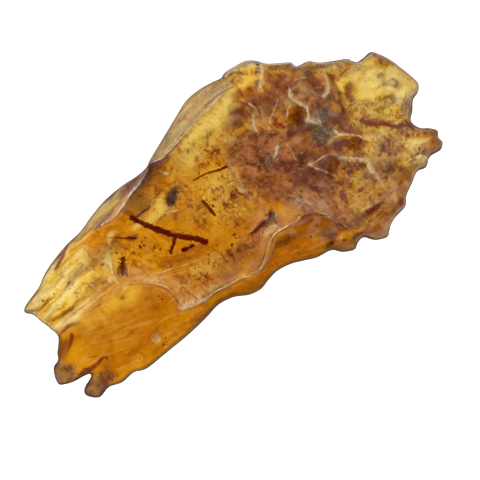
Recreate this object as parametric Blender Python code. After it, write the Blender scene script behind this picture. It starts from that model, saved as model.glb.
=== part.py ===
"""A lump of copal with insects, a twig and a stem sealed in it.

The lump is one natural piece. It is parted in two along a curved sheet between two flows of resin,
because what is sealed in it lies on that sheet. Sizes below are in millimetres. X runs along the lump
to its knobbed end, Y across it to its long bevel, and Z up. The origin is under the middle of the
lump, on the surface that it rests on.
"""

import bmesh
import bpy
import numpy as np
from mathutils import Matrix, Vector

# Size of the lump
MM = 0.001
LENGTH = 84.2
WIDTH = 41.3
HEIGHT = 18.0
PARTING_GAP = 0.3
SLAB_DEPTH = 6.0
POCKET_CLEARANCE = 0.35

# How finely the surfaces are worked out, and what is left after thinning
EDGE_STEPS = 8
PLAN_COLUMNS = 128
PLAN_ROWS = 60
RELAXING_ROUNDS = 600
COLUMNS = 180
ROWS = 84
UPPER_SHARE_KEPT = 0.051
LOWER_SHARE_KEPT = 0.035

# Edge of the lump seen from above, in the order of travel from the upper tip of the left end
LONG_BEVEL_EDGE = [
    (-39.2, 6.6), (-38.6, 7.5), (-37.0, 8.1), (-34.5, 8.9), (-32.2, 10.2), (-29.5, 11.2), (-26.0, 12.1),
    (-22.5, 12.6), (-19.5, 13.6), (-16.0, 14.5), (-12.0, 14.8), (-8.5, 14.6), (-6.3, 14.8), (-4.8, 15.6),
    (-2.0, 16.8), (1.0, 18.1), (4.0, 19.4), (6.5, 20.4), (9.5, 20.6), (12.0, 20.3), (13.9, 19.9),
]
SHOULDER_EDGE = [
    (14.9, 20.3), (16.8, 20.2), (19.2, 19.8), (20.8, 18.7), (22.0, 17.2), (24.2, 15.8), (25.7, 14.8),
    (26.1, 13.7), (28.3, 13.2), (29.8, 11.8), (32.0, 10.6), (34.2, 9.4), (34.9, 8.1), (36.5, 7.9),
]
KNOB_END = [
    (38.2, 8.0), (39.1, 7.0), (40.2, 5.0), (41.0, 2.5), (41.8, -0.3), (42.0, -1.7), (41.0, -2.8),
    (39.5, -3.4), (38.2, -5.0), (37.0, -6.2), (37.5, -8.0), (39.0, -9.2), (39.9, -10.4), (39.3, -11.4),
    (39.4, -12.6),
]
LUMPY_EDGE = [
    (38.3, -13.5), (36.0, -13.4), (34.3, -14.5), (32.6, -14.2), (30.5, -15.4), (28.4, -16.6),
    (27.2, -18.0), (24.5, -18.6), (22.8, -19.4), (21.5, -20.5), (19.3, -19.7), (17.9, -18.1),
    (16.5, -18.3), (15.3, -18.9), (13.3, -18.0), (11.9, -16.6), (9.0, -16.1), (6.8, -15.2), (4.5, -14.3),
    (1.8, -13.9), (-0.5, -14.3), (-2.5, -14.8), (-4.8, -14.4), (-7.3, -13.1), (-10.3, -12.6),
    (-13.5, -13.2), (-18.0, -13.8), (-23.0, -14.1), (-27.5, -14.3), (-29.8, -13.5), (-32.5, -13.7),
    (-35.0, -13.0),
]
TOES_AND_LEFT_END = [
    (-37.2, -13.5), (-38.6, -12.6), (-39.2, -11.4), (-38.4, -10.4), (-36.9, -9.8), (-36.2, -9.2),
    (-37.2, -8.8), (-39.5, -8.5), (-41.2, -7.9), (-42.0, -7.2), (-41.7, -5.6), (-40.8, -4.2),
    (-39.5, -3.7), (-38.9, -2.6), (-37.6, -1.2), (-36.9, 0.0), (-37.3, 1.8), (-37.8, 3.6), (-38.3, 5.4),
]

# Lie of the land: x, y, height of the top and height of the underside there
LAND = [
    (-38, 6, 9.4, 3.0), (-29, 6, 11.4, 1.4), (-41, -6, 7.8, 3.2), (-38, -12, 7.4, 3.0),
    (-31, -7, 10.2, 1.2), (-22, -9, 11.2, 0.4), (-18, 5, 12.8, 0.2), (-9, 4, 14.0, -0.8),
    (-8, -7, 13.4, -0.6), (2, 9, 15.2, -0.2), (2, -4, 15.0, -1.2), (7, 17, 13.6, 1.2),
    (9, -13, 12.4, 0.8), (13, 4, 16.8, -1.0), (20, -6, 16.2, -0.6), (19, 14, 14.4, 1.4),
    (22, -17, 10.6, 2.4), (24, 3, 17.2, 0.2), (31, -8, 13.0, 1.8), (36, 2, 13.2, 3.0),
    (38, -11, 9.4, 4.0), (31, 9, 12.8, 2.6),
]
LAND_REACH = 5.5

# The long bevel: the part of the top on the far side of this line slopes down to the edge
BEVEL_LINE = [
    (-38.8, 6.9), (-34.0, 7.7), (-30.0, 9.7), (-26.0, 10.7), (-20.0, 10.8), (-16.2, 10.9), (-13.7, 11.3),
    (-10.7, 12.4), (-7.9, 13.5), (-6.1, 14.5), (-4.4, 14.4), (-2.9, 14.1), (-0.1, 14.9), (3.8, 15.8),
    (6.0, 16.1), (8.8, 16.8), (11.6, 17.1), (14.4, 17.3),
]
BEVEL_BEYOND = [(14.6, 26.0), (-46.0, 26.0), (-46.0, 6.9)]
BEVEL_SLOPE = 0.85
BEVEL_RIDGE = 0.4
BEVEL_RIDGE_WIDTH = 0.5

# The two low lobes: a scar that broke out below this line, with a step up to the rest
SCAR_LINE = [
    (-36.5, -0.3), (-30.0, 0.3), (-24.0, 0.7), (-22.3, 0.4), (-20.2, -0.6), (-18.0, -2.5), (-16.4, -4.4),
    (-15.7, -6.3), (-15.8, -8.0), (-16.3, -9.4), (-13.5, -10.2), (-10.0, -10.6), (-6.0, -11.0),
    (-2.5, -11.7), (-0.4, -12.1), (1.8, -11.2), (3.5, -9.8), (5.2, -8.5), (7.5, -8.7), (9.5, -8.8),
    (11.5, -8.9), (13.2, -9.7), (14.8, -11.2), (15.8, -13.2), (16.3, -15.5),
]
SCAR_BEYOND = [(16.0, -26.0), (-46.0, -26.0), (-46.0, -0.3)]
SCAR_DROP = 2.3
SCAR_STEP_WIDTH = 1.0
SCAR_LIP = 0.9
SCAR_LIP_WIDTH = 1.9

# Raised lines: height, half width, route
RIBS = [
    (1.0, 0.9, [(-38.6, 6.6), (-33.0, 6.7), (-27.0, 7.3)]),
    (1.0, 0.9, [(-37.4, 3.8), (-33.0, 4.7), (-29.0, 5.5), (-25.5, 6.2)]),
    (0.9, 1.0, [(-37.0, 1.1), (-31.0, 1.2), (-24.0, 1.2)]),
]
CRUST_RIDGES = [
    (1.1, 0.7, [(22.2, 10.8), (21.9, 9.2), (22.5, 7.2), (21.8, 4.4), (22.6, 3.2), (24.0, 2.4),
                (25.2, 0.8), (25.0, -0.6), (26.0, -1.8), (27.4, -3.0)]),
    (0.9, 0.6, [(18.8, 6.6), (19.6, 7.8), (20.8, 8.4), (21.9, 7.4)]),
    (1.1, 0.7, [(17.2, -1.9), (20.8, -2.5), (21.8, -3.4), (22.2, -4.5), (23.6, -5.5), (25.2, -6.6),
                (25.7, -8.4), (25.9, -10.6)]),
    (0.8, 0.6, [(11.6, 2.0), (13.8, 3.2), (15.6, 4.0), (17.4, 3.2)]),
    (0.8, 0.7, [(29.2, 9.0), (28.4, 7.2), (27.2, 6.4), (25.6, 6.6)]),
    (0.8, 0.7, [(18.4, 14.2), (19.4, 15.6), (20.5, 16.8), (20.8, 17.8)]),
    (0.5, 0.4, [(6.2, 6.2), (5.8, 4.4), (5.8, 2.6), (6.1, -0.6), (6.4, -2.2)]),
    (0.8, 0.7, [(11.0, -4.4), (12.4, -5.4), (13.6, -7.2), (15.4, -7.6)]),
]

# Sunk lines: depth, half width, route
GROOVES = [
    (0.8, 0.7, [(-38.2, 5.1), (-34.0, 5.2), (-30.0, 6.2)]),
    (0.8, 0.8, [(-37.4, 2.5), (-33.0, 2.7), (-27.0, 3.4)]),
    (0.9, 1.0, [(29.9, 8.6), (29.6, 6.0), (29.0, 3.4), (28.2, 1.6), (28.7, -0.4), (30.0, -1.8),
                (31.8, -3.6), (33.4, -5.0), (35.2, -6.3), (37.0, -7.2)]),
    (1.0, 0.7, [(-36.2, -9.2), (-33.6, -8.9), (-31.9, -9.6)]),
]

# Pits: x, y, half length, half width, turn in degrees, depth
PITS = [
    (20.3, 6.4, 1.5, 1.3, 0, 1.8), (24.6, -2.9, 1.9, 1.2, -10, 1.6), (15.0, 11.6, 2.0, 1.0, 75, 1.3),
    (26.4, 4.9, 1.8, 1.4, 20, 1.1), (20.6, -5.0, 1.9, 1.1, 50, 1.3), (17.6, 5.0, 1.6, 1.0, -30, 1.0),
    (26.2, 9.4, 1.9, 1.3, 80, 0.9), (29.4, -11.6, 1.7, 1.1, 40, 1.2), (22.0, -15.6, 2.2, 0.9, 0, 1.0),
    (12.4, -14.6, 1.5, 1.0, -40, 0.8), (37.8, -4.2, 1.8, 1.3, 45, 1.0), (33.0, -8.4, 1.6, 1.0, 0, 0.9),
]

# Lumps: x, y, half length, half width, turn in degrees, height
LUMPS = [
    (37.6, 0.2, 3.6, 2.6, 100, 1.2), (33.6, 4.6, 2.6, 2.2, 30, 0.8), (37.0, 6.2, 2.0, 1.6, 0, 0.6),
    (36.4, -11.0, 2.4, 1.8, 0, 1.0), (25.0, -13.0, 3.0, 2.2, 30, 1.0), (20.6, -18.2, 2.4, 1.6, 0, 1.0),
    (17.6, 18.2, 2.6, 1.6, -10, 0.9), (29.0, -5.0, 2.2, 1.8, 0, 0.8), (-39.2, -5.8, 2.0, 1.5, 30, 0.7),
    (-36.6, -11.6, 2.0, 1.4, 10, 0.6), (24.8, 13.2, 2.2, 1.4, -30, 0.7), (14.6, -17.0, 2.0, 1.4, -20, 0.9),
]

# Hollows of old breaks on the underside: x, y, half length, half width, turn in degrees, depth
UNDERSIDE_SCARS = [
    (-25.0, -8.0, 9.0, 4.0, 8, 1.8), (-22.0, 8.0, 10.0, 3.2, 10, 1.6), (28.0, 6.0, 6.0, 4.0, -30, 1.6),
    (26.0, -12.0, 5.0, 4.0, 20, 1.4), (8.0, 14.5, 9.0, 3.0, 12, 1.6), (4.0, -11.5, 6.0, 2.4, -8, 1.2),
    (-35.0, -1.0, 3.0, 2.6, 90, 1.0),
]

# A flake broken off the underside beyond this line, and raised lines of crust there
FLAKE_LINE = [
    (-20.0, -20.0), (-17.0, -12.0), (-19.5, -6.0), (-17.5, -1.0), (-20.5, 4.0), (-18.0, 9.0),
    (-21.0, 20.0),
]
FLAKE_BEYOND = [(-46.0, 20.0), (-46.0, -20.0)]
FLAKE_DEPTH = 1.1
FLAKE_STEP_WIDTH = 6.0
DEEPEST_UNDERSIDE = 1.2
UNDERSIDE_RIDGES = [
    (0.9, 0.9, [(20.0, 15.0), (22.5, 10.0), (21.0, 5.0), (24.5, 1.0), (29.0, -1.0), (37.0, 1.0)]),
    (0.8, 0.9, [(24.5, 1.0), (23.0, -5.0), (27.0, -10.0), (25.5, -17.0)]),
    (0.7, 0.8, [(27.0, -10.0), (32.0, -11.0), (38.0, -9.5)]),
]

# How wide the rounded edge of the top is, on the bevel and the low lobes and elsewhere, how wide the
# slanting edge of the underside is, and how high the rim is between the two faces
TOP_ROUNDING = 0.9
BROKEN_ROUNDING = 0.5
UNDERSIDE_SLANT = 7.0
SLANT_POWER = 1.3
RIM_SHARE = 0.30
RIM_SWAY = 0.10
SHEET_SHARE = 0.58
SHEET_RISE = 7.0
SHEET_RUN_UP = 5.0
SHEET_MOST = 0.75

# Plants in the sheet between the flows: half thickness at the start and the end, and the route
TWIG_ROUTE = [(-13.5, 9.0), (-12.2, 6.8), (-11.0, 4.7), (-9.4, 2.4), (-7.8, 0.7), (-6.2, -0.9), (-4.8, -2.6)]
TWIG_HALF = (0.52, 0.48)
SHOOT_ROUTE = [(-9.1, 1.7), (-10.3, 0.8), (-11.7, -0.3)]
SHOOT_HALF = (0.36, 0.26)
STEM_ROUTE = [(-0.8, 7.9), (1.0, 7.6), (2.6, 7.1), (4.4, 6.5), (6.2, 6.1)]
STEM_HALF = (0.17, 0.29)


def loop_edge(steps):
    """The whole edge as one closed smooth curve, brought to the named length and width about the
    origin."""
    edge = LONG_BEVEL_EDGE + SHOULDER_EDGE + KNOB_END + LUMPY_EDGE + TOES_AND_LEFT_END
    curve = smooth_route(edge, steps, closed=True)
    low = curve.min(axis=0)
    high = curve.max(axis=0)
    return (curve - (low + high) / 2) * np.array([LENGTH, WIDTH]) / (high - low)


def smooth_route(points, steps, closed=False):
    """A smooth curve through the points: between two of them it is the cubic whose slope at each is
    set by its neighbours, with steps samples to a span."""
    route = np.array(points, float)
    before = np.roll(route, 1, axis=0)
    after = np.roll(route, -1, axis=0)
    beyond = np.roll(route, -2, axis=0)
    if not closed:
        before[0] = 2 * route[0] - route[1]
        after[-1] = route[-1]
        beyond[-2] = 2 * route[-1] - route[-2]
        before, route, after, beyond = before[:-1], route[:-1], after[:-1], beyond[:-1]
    t = (np.arange(steps) / steps)[None, :, None]
    b, r, a, f = before[:, None], route[:, None], after[:, None], beyond[:, None]
    curve = r + t * (a - b) / 2 + t**2 * (b - 2.5 * r + 2 * a - f / 2) + t**3 * (1.5 * (r - a) + (f - b) / 2)
    curve = curve.reshape(-1, 2)
    return curve if closed else np.vstack([curve, points[-1]])


def spread(side, count):
    """Points along one side of the edge, spaced by a mix of travelled length and straight progress."""
    steps = np.linalg.norm(np.diff(side, axis=0), axis=1)
    travelled = np.concatenate([[0], np.cumsum(steps)])
    chord = (side - side[0]) @ (side[-1] - side[0])
    progress = 0.6 * travelled / travelled[-1] + 0.4 * np.maximum.accumulate(chord) / chord[-1]
    wanted = np.linspace(0, 1, count + 1)
    return np.stack([np.interp(wanted, progress, side[:, axis]) for axis in (0, 1)], axis=1)


def first_plan(edge_curve, steps):
    """Even grid over the plan of the lump. Each point is mixed from the four sides of the edge: the
    mean of the two long sides across, plus the two ends along, less the straight mix of the four
    corners."""
    last_upper = (len(LONG_BEVEL_EDGE) + len(SHOULDER_EDGE)) * steps
    last_end = last_upper + len(KNOB_END) * steps
    last_lower = last_end + len(LUMPY_EDGE) * steps
    closed = np.vstack([edge_curve, edge_curve[:1]])
    upper = spread(closed[: last_upper + 1], PLAN_COLUMNS)[:, None]
    right = spread(closed[last_upper : last_end + 1][::-1], PLAN_ROWS)[None]
    lower = spread(closed[last_end : last_lower + 1][::-1], PLAN_COLUMNS)[:, None]
    left = spread(closed[last_lower:], PLAN_ROWS)[None]
    u = np.linspace(0, 1, PLAN_COLUMNS + 1)[:, None, None]
    v = np.linspace(0, 1, PLAN_ROWS + 1)[None, :, None]
    corners = (1 - u) * (1 - v) * lower[0, 0] + u * (1 - v) * lower[-1, 0]
    corners = corners + (1 - u) * v * upper[0, 0] + u * v * upper[-1, 0]
    return (1 - v) * lower + v * upper + (1 - u) * left + u * right - corners


def relaxed(plan, rounds):
    """Moves the inner points until no cell is folded. Each point goes towards the mean of its
    neighbours along and across, weighted so that the lines of the grid keep apart from each other also
    next to hollows of the edge."""
    plan = plan.copy()
    for _ in range(rounds):
        east, west, north, south = plan[2:, 1:-1], plan[:-2, 1:-1], plan[1:-1, 2:], plan[1:-1, :-2]
        along, across = (east - west) / 2, (north - south) / 2
        along_size = (along**2).sum(axis=-1, keepdims=True)
        across_size = (across**2).sum(axis=-1, keepdims=True)
        shared = (along * across).sum(axis=-1, keepdims=True)
        twist = (plan[2:, 2:] - plan[:-2, 2:] - plan[2:, :-2] + plan[:-2, :-2]) / 4
        pull = across_size * (east + west) + along_size * (north + south) - 2 * shared * twist
        target = pull / (2 * (along_size + across_size))
        plan[1:-1, 1:-1] += 0.9 * (target - plan[1:-1, 1:-1])
    return plan


def refined(grid, wanted):
    """Reads an even grid at the wanted shares of its first direction, with a smooth cubic between its
    points."""
    padded = np.concatenate([2 * grid[:1] - grid[1:2], grid, 2 * grid[-1:] - grid[-2:-1]])
    place = wanted * (len(grid) - 1)
    whole = np.minimum(place.astype(int), len(grid) - 2)
    t = (place - whole)[:, None, None]
    b, r, a, f = padded[whole], padded[whole + 1], padded[whole + 2], padded[whole + 3]
    return r + t * (a - b) / 2 + t**2 * (b - 2.5 * r + 2 * a - f / 2) + t**3 * (1.5 * (r - a) + (f - b) / 2)


def closer_at_ends(count):
    """Shares from 0 to 1 that lie closer together towards both ends, where the edge of the lump is
    rounded."""
    even = np.linspace(0, 1, count + 1)
    return 0.62 * even + 0.38 * (1 - np.cos(np.pi * even)) / 2


def plan_grid(edge_curve, steps):
    """The grid that both faces of both halves are worked out on."""
    plan = relaxed(first_plan(edge_curve, steps), RELAXING_ROUNDS)
    plan = refined(plan, closer_at_ends(COLUMNS))
    return refined(plan.transpose(1, 0, 2), closer_at_ends(ROWS)).transpose(1, 0, 2)


def distance_to(plan, route):
    """Shortest distance from each plan point to the route."""
    nearest = np.full(plan.shape[:-1], np.inf)
    for start, end in zip(route[:-1], route[1:]):
        along = end - start
        share = np.clip(((plan - start) @ along) / (along @ along), 0, 1)
        gap = np.linalg.norm(plan - start - share[..., None] * along, axis=-1)
        nearest = np.minimum(nearest, gap)
    return nearest


def inside(plan, ring):
    """True where the plan point is inside the closed ring: a ray to the right crosses it an odd number
    of times."""
    x, y = plan[..., 0], plan[..., 1]
    odd = np.zeros(x.shape, bool)
    for (x0, y0), (x1, y1) in zip(ring, np.roll(ring, -1, axis=0)):
        if y0 == y1:
            continue
        crosses = (y0 > y) != (y1 > y)
        odd ^= crosses & (x < (x1 - x0) * (y - y0) / (y1 - y0) + x0)
    return odd


def beyond_line(plan, line, corners):
    """Distance past the line, positive on the side that the corners close round and negative on the
    other."""
    route = smooth_route(line, 6)
    ring = np.vstack([route, corners])
    return distance_to(plan, route) * np.where(inside(plan, ring), 1, -1)


def soft_step(value):
    """Goes smoothly from 0 at 0 to 1 at 1."""
    share = np.clip(value, 0, 1)
    return share * share * (3 - 2 * share)


def hump(plan, x, y, long, wide, turn, height):
    """A bell over a turned ellipse."""
    angle = np.radians(turn)
    dx, dy = plan[..., 0] - x, plan[..., 1] - y
    along = (dx * np.cos(angle) + dy * np.sin(angle)) / long
    across = (dy * np.cos(angle) - dx * np.sin(angle)) / wide
    return height * np.exp(-(along**2) - across**2)


def raised_line(plan, height, half_width, route):
    """A bell-shaped bank along a smooth route."""
    return height * np.exp(-((distance_to(plan, smooth_route(route, 4)) / half_width) ** 2))


def lie_of_the_land(plan):
    """Broad height of the top and the underside: the mean of the hand-picked heights, each weighted by
    a bell over its distance."""
    total = np.zeros(plan.shape[:-1])
    top = np.zeros(plan.shape[:-1])
    under = np.zeros(plan.shape[:-1])
    for x, y, top_height, under_height in LAND:
        weight = np.exp(-((plan[..., 0] - x) ** 2 + (plan[..., 1] - y) ** 2) / (2 * LAND_REACH**2)) + 1e-9
        total += weight
        top += weight * top_height
        under += weight * under_height
    return top / total, under / total


def ripple(plan, length, seed):
    """Gentle uneven swells about as long as the given length: the sum of five plane waves with fixed
    directions."""
    rng = np.random.default_rng(seed)
    angles = rng.uniform(0, 2 * np.pi, 5)
    phases = rng.uniform(0, 2 * np.pi, 5)
    stretch = rng.uniform(0.7, 1.4, 5)
    total = 0
    for angle, phase, factor in zip(angles, phases, stretch):
        along = plan[..., 0] * np.cos(angle) + plan[..., 1] * np.sin(angle)
        total = total + np.sin(along * 2 * np.pi * factor / length + phase)
    return total / 5


def scar_drop(plan):
    """Depth of the step at the scar: full along the middle, and less than half along the ribs of the
    left end."""
    return SCAR_DROP * (0.45 + 0.55 * soft_step((plan[..., 0] + 27) / 6))


def top_height(plan, broad):
    """Top before its edge is rounded: the broad height, less the bevel and the scar, with lumps,
    ridges and pits."""
    past_bevel = beyond_line(plan, BEVEL_LINE, BEVEL_BEYOND)
    past_scar = beyond_line(plan, SCAR_LINE, SCAR_BEYOND)
    crust = soft_step((plan[..., 0] - 6) / 8)
    drop = scar_drop(plan)
    height = broad - BEVEL_SLOPE * np.maximum(past_bevel, 0)
    height = height + BEVEL_RIDGE * np.exp(-((past_bevel / BEVEL_RIDGE_WIDTH) ** 2))
    height = height - drop * soft_step(past_scar / SCAR_STEP_WIDTH + 0.5)
    lip = np.exp(-((np.minimum(past_scar, 0) / SCAR_LIP_WIDTH) ** 2))
    height = height - SCAR_LIP / SCAR_DROP * drop * lip
    for rib in RIBS + CRUST_RIDGES:
        height = height + raised_line(plan, *rib)
    for groove in GROOVES:
        height = height - raised_line(plan, *groove)
    for lump in LUMPS:
        height = height + hump(plan, *lump)
    for pit in PITS:
        height = height - hump(plan, *pit)
    crust_swells = 0.45 * ripple(plan, 5.2, 8) + 0.25 * ripple(plan, 2.9, 21)
    return height + 0.25 * ripple(plan, 11, 3) + crust * crust_swells, past_bevel, past_scar


def underside_height(plan, broad):
    """Underside before its edge is rounded. It never goes far below the surface that the lump rests
    on."""
    height = broad + 0.35 * ripple(plan, 9, 12)
    for scar in UNDERSIDE_SCARS:
        height = height + hump(plan, *scar)
    past_flake = beyond_line(plan, FLAKE_LINE, FLAKE_BEYOND)
    height = height + FLAKE_DEPTH * soft_step(past_flake / FLAKE_STEP_WIDTH + 0.5)
    for ridge in UNDERSIDE_RIDGES:
        height = height - raised_line(plan, *ridge)
    return np.maximum(height, -DEEPEST_UNDERSIDE)


def rounded(distance, width):
    """Quarter of an ellipse: 0 at the edge, 1 from the given width on."""
    share = np.clip(distance / width, 0, 1)
    return np.sqrt(share * (2 - share))


def slanted(distance, width):
    """Nearly straight slope: 0 at the edge, easing into 1 at the given width."""
    share = np.clip(distance / width, 0, 1)
    return 1 - (1 - share) ** SLANT_POWER


def lump_heights(plan, edge_curve):
    """Heights at each plan point: of the top, of the sheet between the flows and of the underside."""
    to_edge = distance_to(plan, np.vstack([edge_curve, edge_curve[:1]]))
    broad_top, broad_under = lie_of_the_land(plan)
    share = RIM_SHARE + RIM_SWAY * ripple(plan, 30, 44)
    rim = share * broad_top + (1 - share) * broad_under
    top, past_bevel, past_scar = top_height(plan, broad_top)
    under = underside_height(plan, broad_under)
    width = TOP_ROUNDING + (BROKEN_ROUNDING - TOP_ROUNDING) * soft_step(np.maximum(past_bevel, past_scar) + 1)
    top = rim + (top - rim) * rounded(to_edge, width)
    under = rim - (rim - under) * slanted(to_edge, UNDERSIDE_SLANT)
    lowered = broad_top - scar_drop(plan) * soft_step((past_scar + SHEET_RUN_UP) / (SHEET_RUN_UP + 1))
    sheet = rim + SHEET_SHARE * (lowered - rim) * soft_step(to_edge / SHEET_RISE)
    sheet = np.minimum(sheet, rim + SHEET_MOST * (top - rim))
    return top, sheet, under


def settled(top):
    """Factor that brings the highest point of the top to the named height."""
    return HEIGHT / top.max()


def plain_material(name, colour, roughness, clear=False):
    """Plain Principled material, see-through where the thing is."""
    material = bpy.data.materials.new(name)
    material.use_nodes = True
    shader = material.node_tree.nodes["Principled BSDF"]
    shader.inputs["Base Color"].default_value = (*colour, 1)
    shader.inputs["Roughness"].default_value = roughness
    shader.inputs["Metallic"].default_value = 0
    if clear:
        shader.inputs["Transmission Weight"].default_value = 0.9
        shader.inputs["IOR"].default_value = 1.54
    return material


def add_object(name, bm, material=None):
    """One closed object from a bmesh in millimetres, with its faces turned outwards. With no material
    it is a hidden helper for a Boolean."""
    if bm.calc_volume(signed=True) < 0:
        bmesh.ops.reverse_faces(bm, faces=bm.faces)
    bmesh.ops.scale(bm, vec=(MM, MM, MM), verts=bm.verts)
    mesh = bpy.data.meshes.new(name)
    bm.to_mesh(mesh)
    bm.free()
    mesh.shade_smooth()
    thing = bpy.data.objects.new(name, mesh)
    bpy.context.scene.collection.objects.link(thing)
    if material:
        mesh.materials.append(material)
    else:
        thing.hide_render = True
        thing.display_type = "WIRE"
    return thing


def grid_triangles(numbers):
    """Two triangles to a cell. The cut across each cell points to the middle of the grid, so that a
    corner of the edge is never joined straight across by both faces of a half."""
    near, east, far, north = numbers[:-1, :-1], numbers[1:, :-1], numbers[1:, 1:], numbers[:-1, 1:]
    rising = np.stack([near, east, far, near, far, north], axis=-1)
    falling = np.stack([near, east, north, east, far, north], axis=-1)
    column, row = np.indices(near.shape)
    same_side = (column < near.shape[0] / 2) == (row < near.shape[1] / 2)
    return np.where(same_side[..., None], rising, falling).reshape(-1, 3)


def half_of_lump(name, plan, outer, sheet, material, share_kept):
    """One half: a grid for its outer face and a grid for its parting face, which share the edge all
    round."""
    long, wide = outer.shape
    numbers = np.arange(long * wide).reshape(long, wide)
    second = numbers + long * wide
    edge = edge_only(outer) > 0
    second[edge] = numbers[edge]
    points = np.concatenate([np.dstack([plan, face]).reshape(-1, 3) for face in (outer, sheet)])
    faces = np.concatenate([grid_triangles(numbers), grid_triangles(second)[:, ::-1]])
    bm = bmesh.new()
    verts = {number: bm.verts.new(points[number]) for number in np.unique(faces)}
    for face in faces:
        bm.faces.new([verts[number] for number in face])
    half = add_object(name, bm, material)
    thin = half.modifiers.new("thin", "DECIMATE")
    thin.ratio = share_kept
    return half


def ball(bm, centre, half_sizes, turn=0.0, pitch=0.0, around=8, along=5, roll=0.0):
    """Adds an ellipsoid to a bmesh: an even ball, rolled about its poles, which lie along X, then stretched,
    pitched and turned in plan, all in millimetres and degrees."""
    made = bmesh.ops.create_uvsphere(bm, u_segments=around, v_segments=along, radius=1)["verts"]
    rolling = Matrix.Rotation(np.radians(roll), 3, "Z")
    for vert in made:
        across, above, lengthways = rolling @ vert.co
        vert.co = Vector((lengthways * half_sizes[0], across * half_sizes[1], above * half_sizes[2]))
    turn_and_move(made, centre, turn, pitch)


def turn_and_move(verts, centre, turn, pitch):
    """Pitches the points about Y, turns them about Z and moves them to the centre. Angles are in
    degrees."""
    pitching = Matrix.Rotation(np.radians(-pitch), 3, "Y")
    turning = Matrix.Rotation(np.radians(turn), 3, "Z")
    for vert in verts:
        vert.co = turning @ pitching @ vert.co + Vector(centre)


def limb(bm, route, half_sizes, sides=5):
    """Adds a tapered round bar along a route to a bmesh: a ring of points round each route point, and
    closed ends."""
    route = np.array(route, float)
    directions = np.gradient(route, axis=0)
    rings = []
    for place, direction, half in zip(route, directions, np.linspace(*half_sizes, len(route))):
        direction = Vector(direction).normalized()
        aside = direction.cross(Vector((0, 0, 1))).normalized()
        above = aside.cross(direction)
        ring = []
        for angle in 2 * np.pi * np.arange(sides) / sides:
            outwards = aside * float(np.cos(angle)) + above * float(np.sin(angle))
            ring.append(bm.verts.new(Vector(place) + outwards * float(half)))
        rings.append(ring)
    for first, second in zip(rings[:-1], rings[1:]):
        for near, far in zip(range(sides), np.roll(range(sides), -1)):
            bm.faces.new((first[near], first[far], second[far], second[near]))
    bm.faces.new(rings[0][::-1])
    bm.faces.new(rings[-1])


def fused(name, pieces, material):
    """One closed object from several simple solids, joined one after another by Boolean unions."""
    whole = None
    for build in pieces:
        bm = bmesh.new()
        build(bm)
        if whole is None:
            whole = add_object(name, bm, material)
            continue
        join = whole.modifiers.new("join", "BOOLEAN")
        join.operation = "UNION"
        join.object = add_object(name + "_piece", bm)
    return whole


def in_place(points, x, y, z, turn):
    """Takes points from an insect's own axes, head along +X, to its place in the lump."""
    points = np.atleast_2d(np.array(points, float))
    angle = np.radians(turn)
    east = points[:, 0] * np.cos(angle) - points[:, 1] * np.sin(angle) + x
    north = points[:, 0] * np.sin(angle) + points[:, 1] * np.cos(angle) + y
    return np.stack([east, north, points[:, 2] + z], axis=1)


def body_piece(place, centre, half_sizes, turn=0.0, pitch=0.0, around=8, along=5):
    """Builder for one rounded part of an insect's body. Its roll depends on where it is, so that no two parts
    that are joined have edges in one plane."""
    roll = 11 + 29 * centre[0] + 17 * centre[1]

    def build(bm):
        ball(bm, in_place(centre, *place)[0], half_sizes, place[3] + turn, pitch, around, along, roll)

    return build


def leg_piece(place, route, half_sizes, sides=3):
    """Builder for one leg, feeler or wing rib of an insect."""

    def build(bm):
        limb(bm, in_place(route, *place), half_sizes, sides)

    return build


def six_legs(place, reach, roots, drop, half=0.09):
    """Three pairs of bent legs: each goes out from the chest, up to a knee and down to a foot."""
    legs = []
    for root, sweep in zip(roots, (0.55, 0.05, -0.6)):
        for side in (-1, 1):
            hip = (root, 0.12 * side * reach, -0.05)
            knee = (root + sweep * reach * 0.45, side * reach * 0.55, 0.1)
            foot = (root + sweep * reach * 1.05, side * reach, -drop)
            legs.append(leg_piece(place, [hip, knee, foot], (half, half * 0.6)))
    return legs


def termite(sheet_at, material):
    """Long soft insect: round head, short chest and a long plump tail of three overlapping parts."""
    place = (-1.4, 2.6, sheet_at(-1.4, 2.6), 98)
    pieces = [
        body_piece(place, (-0.95, 0, 0), (1.35, 0.42, 0.40), around=10, along=6),
        body_piece(place, (0.45, 0, 0.02), (0.62, 0.37, 0.34)),
        body_piece(place, (1.25, 0, 0.03), (0.50, 0.39, 0.35)),
        leg_piece(place, [(1.55, 0.14, 0.0), (1.95, 0.38, 0.05), (2.35, 0.50, 0.0)], (0.08, 0.06)),
        leg_piece(place, [(1.55, -0.14, 0.0), (1.95, -0.38, 0.05), (2.35, -0.50, 0.0)], (0.08, 0.06)),
    ]
    legs = six_legs(place, 1.25, (0.75, 0.45, 0.1), 0.25)
    return fused("termite", pieces + legs, material), (place, 0.05, 2.95, 1.8, 0.95)


def winged_ant(sheet_at, material):
    """Insect with a narrow waist and two pairs of wings laid back along the tail."""
    place = (-19.6, 3.2, sheet_at(-19.6, 3.2), 47)
    pieces = [
        body_piece(place, (-0.85, 0, 0), (0.85, 0.42, 0.40)),
        body_piece(place, (0.25, 0, 0.05), (0.50, 0.36, 0.36)),
        body_piece(place, (0.98, 0, 0), (0.36, 0.34, 0.30)),
        body_piece(place, (-0.72, 0.56, 0.23), (1.25, 0.38, 0.10), turn=-17, pitch=-4),
        body_piece(place, (-0.72, -0.56, 0.23), (1.25, 0.38, 0.10), turn=17, pitch=-4),
    ]
    legs = six_legs(place, 1.0, (0.55, 0.25, -0.05), 0.3, 0.08)
    return fused("winged_ant", pieces + legs, material), (place, -0.35, 2.55, 1.9, 0.85)


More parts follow.
